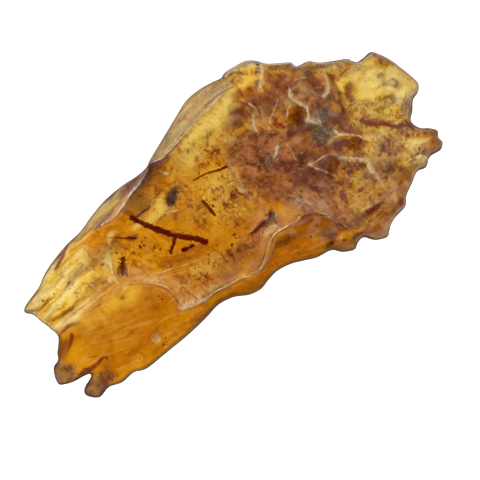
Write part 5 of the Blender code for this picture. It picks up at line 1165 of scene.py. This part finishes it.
# Clouds of crumbs: middle, spread along and across, count
clouds = [
    (2.5, 2.0, 2.6, 3.2, 150), (-10.5, -5.8, 2.6, 0.8, 60), (-2.0, -6.5, 2.0, 1.2, 50),
    (3.6, 11.0, 2.4, 1.4, 50), (-16.0, 4.5, 3.0, 2.0, 30), (-26.0, 6.0, 4.0, 2.0, 16),
    (-25.5, -12.6, 2.6, 0.5, 8), (10, -12, 3, 1.4, 10), (22.0, -13.0, 3.0, 2.4, 40),
    (33.0, -4.0, 2.6, 3.0, 30), (35.0, 4.0, 2.4, 2.0, 14),
]
shreds = [(*bark_strip(route, half_sizes, 8, 0.3), 0.3) for route, half_sizes in shred_routes]
shreds.append(speck_cloud(clouds, 11))
shred_points, shred_quads, shred_triangles, shred_tones = joined(shreds)
shred_piece = add_mesh("specks_and_slivers", shred_points, [shred_quads, shred_triangles], dark_shreds)
add_mask(shred_piece, "tone", shred_tones)
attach(shred_piece, "root")


# The termite: a long thin insect with a ringed tail, three short chest plates, a round head, beaded feelers
# and six thin legs. Its skin is thin and brown.
def egg(centre, half_sizes, tone, plates=0, cut=0.0, turn=0.0, rings=18, sides=16):
    """Rounded part of a body: its half sizes follow the root of 1 - t squared for t from -1 to 1, and are
    pressed in between its plates."""
    t = -np.cos(np.linspace(0, np.pi, rings + 2))[1:-1]
    size = np.sqrt(1 - t**2) * (1 - cut * np.cos(np.pi * plates * (t + 1) / 2) ** 8)
    spine = np.stack([t * half_sizes[0], 0 * t, 0 * t], axis=1)
    points, quads, triangles = along_path(spine, size * half_sizes[1], size * half_sizes[2], sides)
    angle = np.radians(turn)
    turned = np.array([[np.cos(angle), np.sin(angle), 0], [-np.sin(angle), np.cos(angle), 0], [0, 0, 1]])
    return points @ turned + np.array(centre), quads, triangles, tone


def thin_limb(route, half_sizes, tone, beads=0):
    """Leg, feeler or jaw: a tapered round bar along a smooth route, swelling at its beads."""
    spine = smooth_route(route, 8)
    t = np.linspace(0, 1, len(spine))
    swelling = 1 + 0.3 * np.cos(2 * np.pi * beads * t)
    half = np.interp(t, np.linspace(0, 1, len(half_sizes)), half_sizes) * swelling
    return (*along_path(spine, half, half, 7), tone)


def legs(reach, roots, drop, half, tone):
    """Three pairs of bent legs: thigh up and out to the knee, shin down, and a thin foot."""
    made = []
    thickness = (half, half * 1.1, half * 0.6, half * 0.35)
    for root, sweep in zip(roots, (0.55, 0.05, -0.6)):
        for side in (-1, 1):
            hip = (root, 0.12 * side * reach, -0.05)
            knee = (root + sweep * reach * 0.45, side * reach * 0.55, 0.10)
            ankle = (root + sweep * reach * 0.85, side * reach * 0.85, -0.7 * drop)
            foot = (root + sweep * reach * 1.05, side * reach, -drop)
            made.append(thin_limb([hip, knee, ankle, foot], thickness, tone))
    return made


def feelers(root, reach, half, tone, beads=0):
    """Pair of feelers that go forwards and outwards from the head."""
    x, y, z = root
    made = []
    for side in (-1, 1):
        bend = (x + 0.5 * reach, side * (y + 0.3 * reach), z + 0.05)
        tip = (x + reach, side * (y + 0.4 * reach), z)
        made.append(thin_limb([(x, side * y, z), bend, tip], (half, half * 0.7), tone, beads))
    return made


def add_insect(name, x, y, turn, parts, material, wing_tone=None):
    """Adds an insect made about its own middle, head along +X, at its place on the sheet, turned by
    degrees."""
    angle = np.radians(turn)
    place = np.array([x, y, *sheet_height(x, y)])
    turned = np.array([[np.cos(angle), np.sin(angle), 0], [-np.sin(angle), np.cos(angle), 0], [0, 0, 1]])
    add_inclusion(name, [(part[0] @ turned + place, *part[1:]) for part in parts], material, wing_tone)


thin_skin = shell_material("termite_skin", (0.40, 0.025, 0.010), (0.90, 0.10, 0.03), 0.6)
termite_parts = [
    egg((-0.95, 0, 0), (1.35, 0.42, 0.40), 0.45, plates=9, cut=0.16, rings=44),
    egg((0.28, 0, 0.02), (0.34, 0.36, 0.32), 0.3),
    egg((0.62, 0, 0.03), (0.32, 0.38, 0.34), 0.3),
    egg((0.92, 0, 0.05), (0.20, 0.38, 0.30), 0.2),
    egg((1.32, 0, 0.03), (0.42, 0.38, 0.34), 0.15),
]
for side in (1, -1):
    jaw_route = [(1.62, 0.1 * side, 0), (1.78, 0.12 * side, 0), (1.86, 0.02 * side, 0)]
    termite_parts.append(thin_limb(jaw_route, (0.06, 0.02), 0.0))
termite_parts += feelers((1.55, 0.14, 0.0), 0.8, 0.05, 0.5, 9) + legs(1.25, (0.85, 0.5, 0.2), 0.25, 0.06, 0.5)
add_insect("termite", -1.4, 2.6, 98, termite_parts, thin_skin)


# The winged ant: dark reddish body with a narrow waist, bent feelers, six legs and two clear wings with brown
# ribs, laid back along the tail.
WING_TONE, RIB_TONE = 0.95, 0.3


def pair_of_wings(root, length, width, turn, lift_up):
    """Two thin leaf-shaped wings with four fine ribs each, which fan out from the wing's root. A wing is a
    flat bar whose level half size is the width times the sine of pi times the 0.8th power of t, that sine to
    the power of 0.7."""
    made = []
    for side in (-1, 1):
        angle = np.radians(-turn * side)
        base = np.array([root[0], root[1] * side, root[2]])
        t = np.linspace(0.02, 0.98, 20)
        leaf = width * np.sin(np.pi * t**0.8) ** 0.7
        back, aside = -t * length * np.cos(angle), -t * length * np.sin(angle)
        spine = np.stack([back, aside, lift_up * t], axis=1) + base
        made.append((*along_path(spine, leaf, 0.018, 12), WING_TONE))
        t = np.linspace(0.03, 0.95, 6)
        for share in (-0.75, -0.25, 0.3, 0.8):
            aside = share * width * np.sin(np.pi * t**0.8) ** 0.7
            x = -t * length * np.cos(angle) + aside * np.sin(angle)
            y = -t * length * np.sin(angle) - aside * np.cos(angle)
            rib = np.stack([x, y, lift_up * t + 0.02], axis=1) + base
            made.append((*along_path(rib, 0.022, 0.022, 5), RIB_TONE))
    return made


red_skin = shell_material("winged_ant_skin", (0.60, 0.09, 0.03), (1.0, 0.36, 0.09), 0.35, (0.75, 0.62, 0.45))
winged_ant_parts = [
    egg((-0.85, 0, 0), (0.85, 0.42, 0.40), 0.3, plates=5, cut=0.12, rings=30),
    egg((0.25, 0, 0.05), (0.50, 0.36, 0.36), 0.2),
    egg((-0.12, 0, 0.02), (0.22, 0.14, 0.16), 0.2),
    egg((0.98, 0, 0), (0.36, 0.34, 0.30), 0.1),
]
winged_ant_parts += feelers((1.2, 0.1, 0.05), 0.7, 0.045, 0.4)
winged_ant_parts += legs(1.0, (0.55, 0.25, -0.05), 0.3, 0.06, 0.5)
winged_ant_parts += pair_of_wings((0.35, 0.22, 0.28), 2.3, 0.40, 17, -0.08)
add_insect("winged_ant", -19.6, 3.2, 47, winged_ant_parts, red_skin, WING_TONE)


# The beetle: broad and dark grey, its domed wing cases meeting in a straight seam and lined with fine
# furrows, with a shield behind the head, clubbed feelers and short stout legs.
def wing_case(side, tone):
    """Half dome beside the seam: an egg of which only one side is kept, with furrows along it."""
    points, quads, triangles, _ = egg((-0.5, 0, 0), (1.45, 0.98, 0.66), tone, rings=40, sides=48)
    across = np.arctan2(points[:, 1], np.maximum(points[:, 2] + 0.3, 0.05))
    lift_up = 0.03 * np.cos(across * 22) * (points[:, 2] > 0)
    points = points + np.stack([0 * lift_up, 0 * lift_up, lift_up], axis=1)
    points[:, 1] = np.where(points[:, 1] * side > 0, points[:, 1], 0) + 0.02 * side
    return points, quads, triangles, tone


grey_skin = shell_material("beetle_skin", (0.16, 0.12, 0.16), (0.52, 0.42, 0.55), 0.5)
beetle_parts = [
    wing_case(-1, 0.3),
    wing_case(1, 0.3),
    egg((-0.5, 0, -0.1), (1.3, 0.8, 0.5), 0.1, plates=6, cut=0.1, rings=30),
    egg((0.95, 0, -0.02), (0.58, 0.74, 0.46), 0.25),
    egg((1.55, 0, -0.05), (0.40, 0.42, 0.32), 0.15),
    egg((2.35, 0.62, 0.0), (0.14, 0.08, 0.08), 0.4, turn=30),
    egg((2.35, -0.62, 0.0), (0.14, 0.08, 0.08), 0.4, turn=-30),
]
beetle_parts += feelers((1.75, 0.25, 0.0), 0.6, 0.05, 0.4, 6) + legs(1.55, (0.9, 0.2, -0.5), 0.35, 0.09, 0.5)
add_insect("beetle", -5.3, 7.9, 30, beetle_parts, grey_skin)


# The ant: small and dark, with a round tail, a knot at its waist, a slim chest, a broad head and bent
# feelers.
dark_skin = shell_material("ant_skin", (0.34, 0.015, 0.008), (0.75, 0.06, 0.02), 0.35)
ant_parts = [
    egg((-0.75, 0, 0), (0.66, 0.48, 0.44), 0.2, plates=4, cut=0.12, rings=26),
    egg((-0.12, 0, 0.02), (0.14, 0.13, 0.17), 0.2),
    egg((0.22, 0, 0), (0.42, 0.25, 0.26), 0.25),
    egg((0.82, 0, 0), (0.38, 0.36, 0.28), 0.1),
]
ant_parts += feelers((1.1, 0.1, 0.0), 0.45, 0.04, 0.4) + legs(0.8, (0.4, 0.15, -0.1), 0.25, 0.05, 0.5)
add_insect("ant", -8.4, -1.2, -8, ant_parts, dark_skin)


# The gnat: a small fly with a humped chest, a thin ringed tail, long legs and two broad clear wings.
fly_skin = shell_material("gnat_skin", (0.26, 0.010, 0.006), (0.60, 0.04, 0.015), 0.35, (0.7, 0.55, 0.4))
gnat_parts = [
    egg((-0.75, 0, -0.05), (0.75, 0.24, 0.22), 0.3, plates=7, cut=0.14, rings=34),
    egg((0.15, 0, 0), (0.42, 0.36, 0.34), 0.15),
    egg((0.62, 0, -0.05), (0.26, 0.24, 0.22), 0.1),
]
gnat_parts += feelers((0.8, 0.08, 0.0), 0.35, 0.035, 0.4, 5) + legs(0.8, (0.3, 0.1, -0.1), 0.25, 0.045, 0.5)
gnat_parts += pair_of_wings((0.2, 0.25, 0.22), 1.45, 0.34, 34, -0.06)
add_insect("gnat", 6.9, -4.8, 20, gnat_parts, fly_skin, WING_TONE)
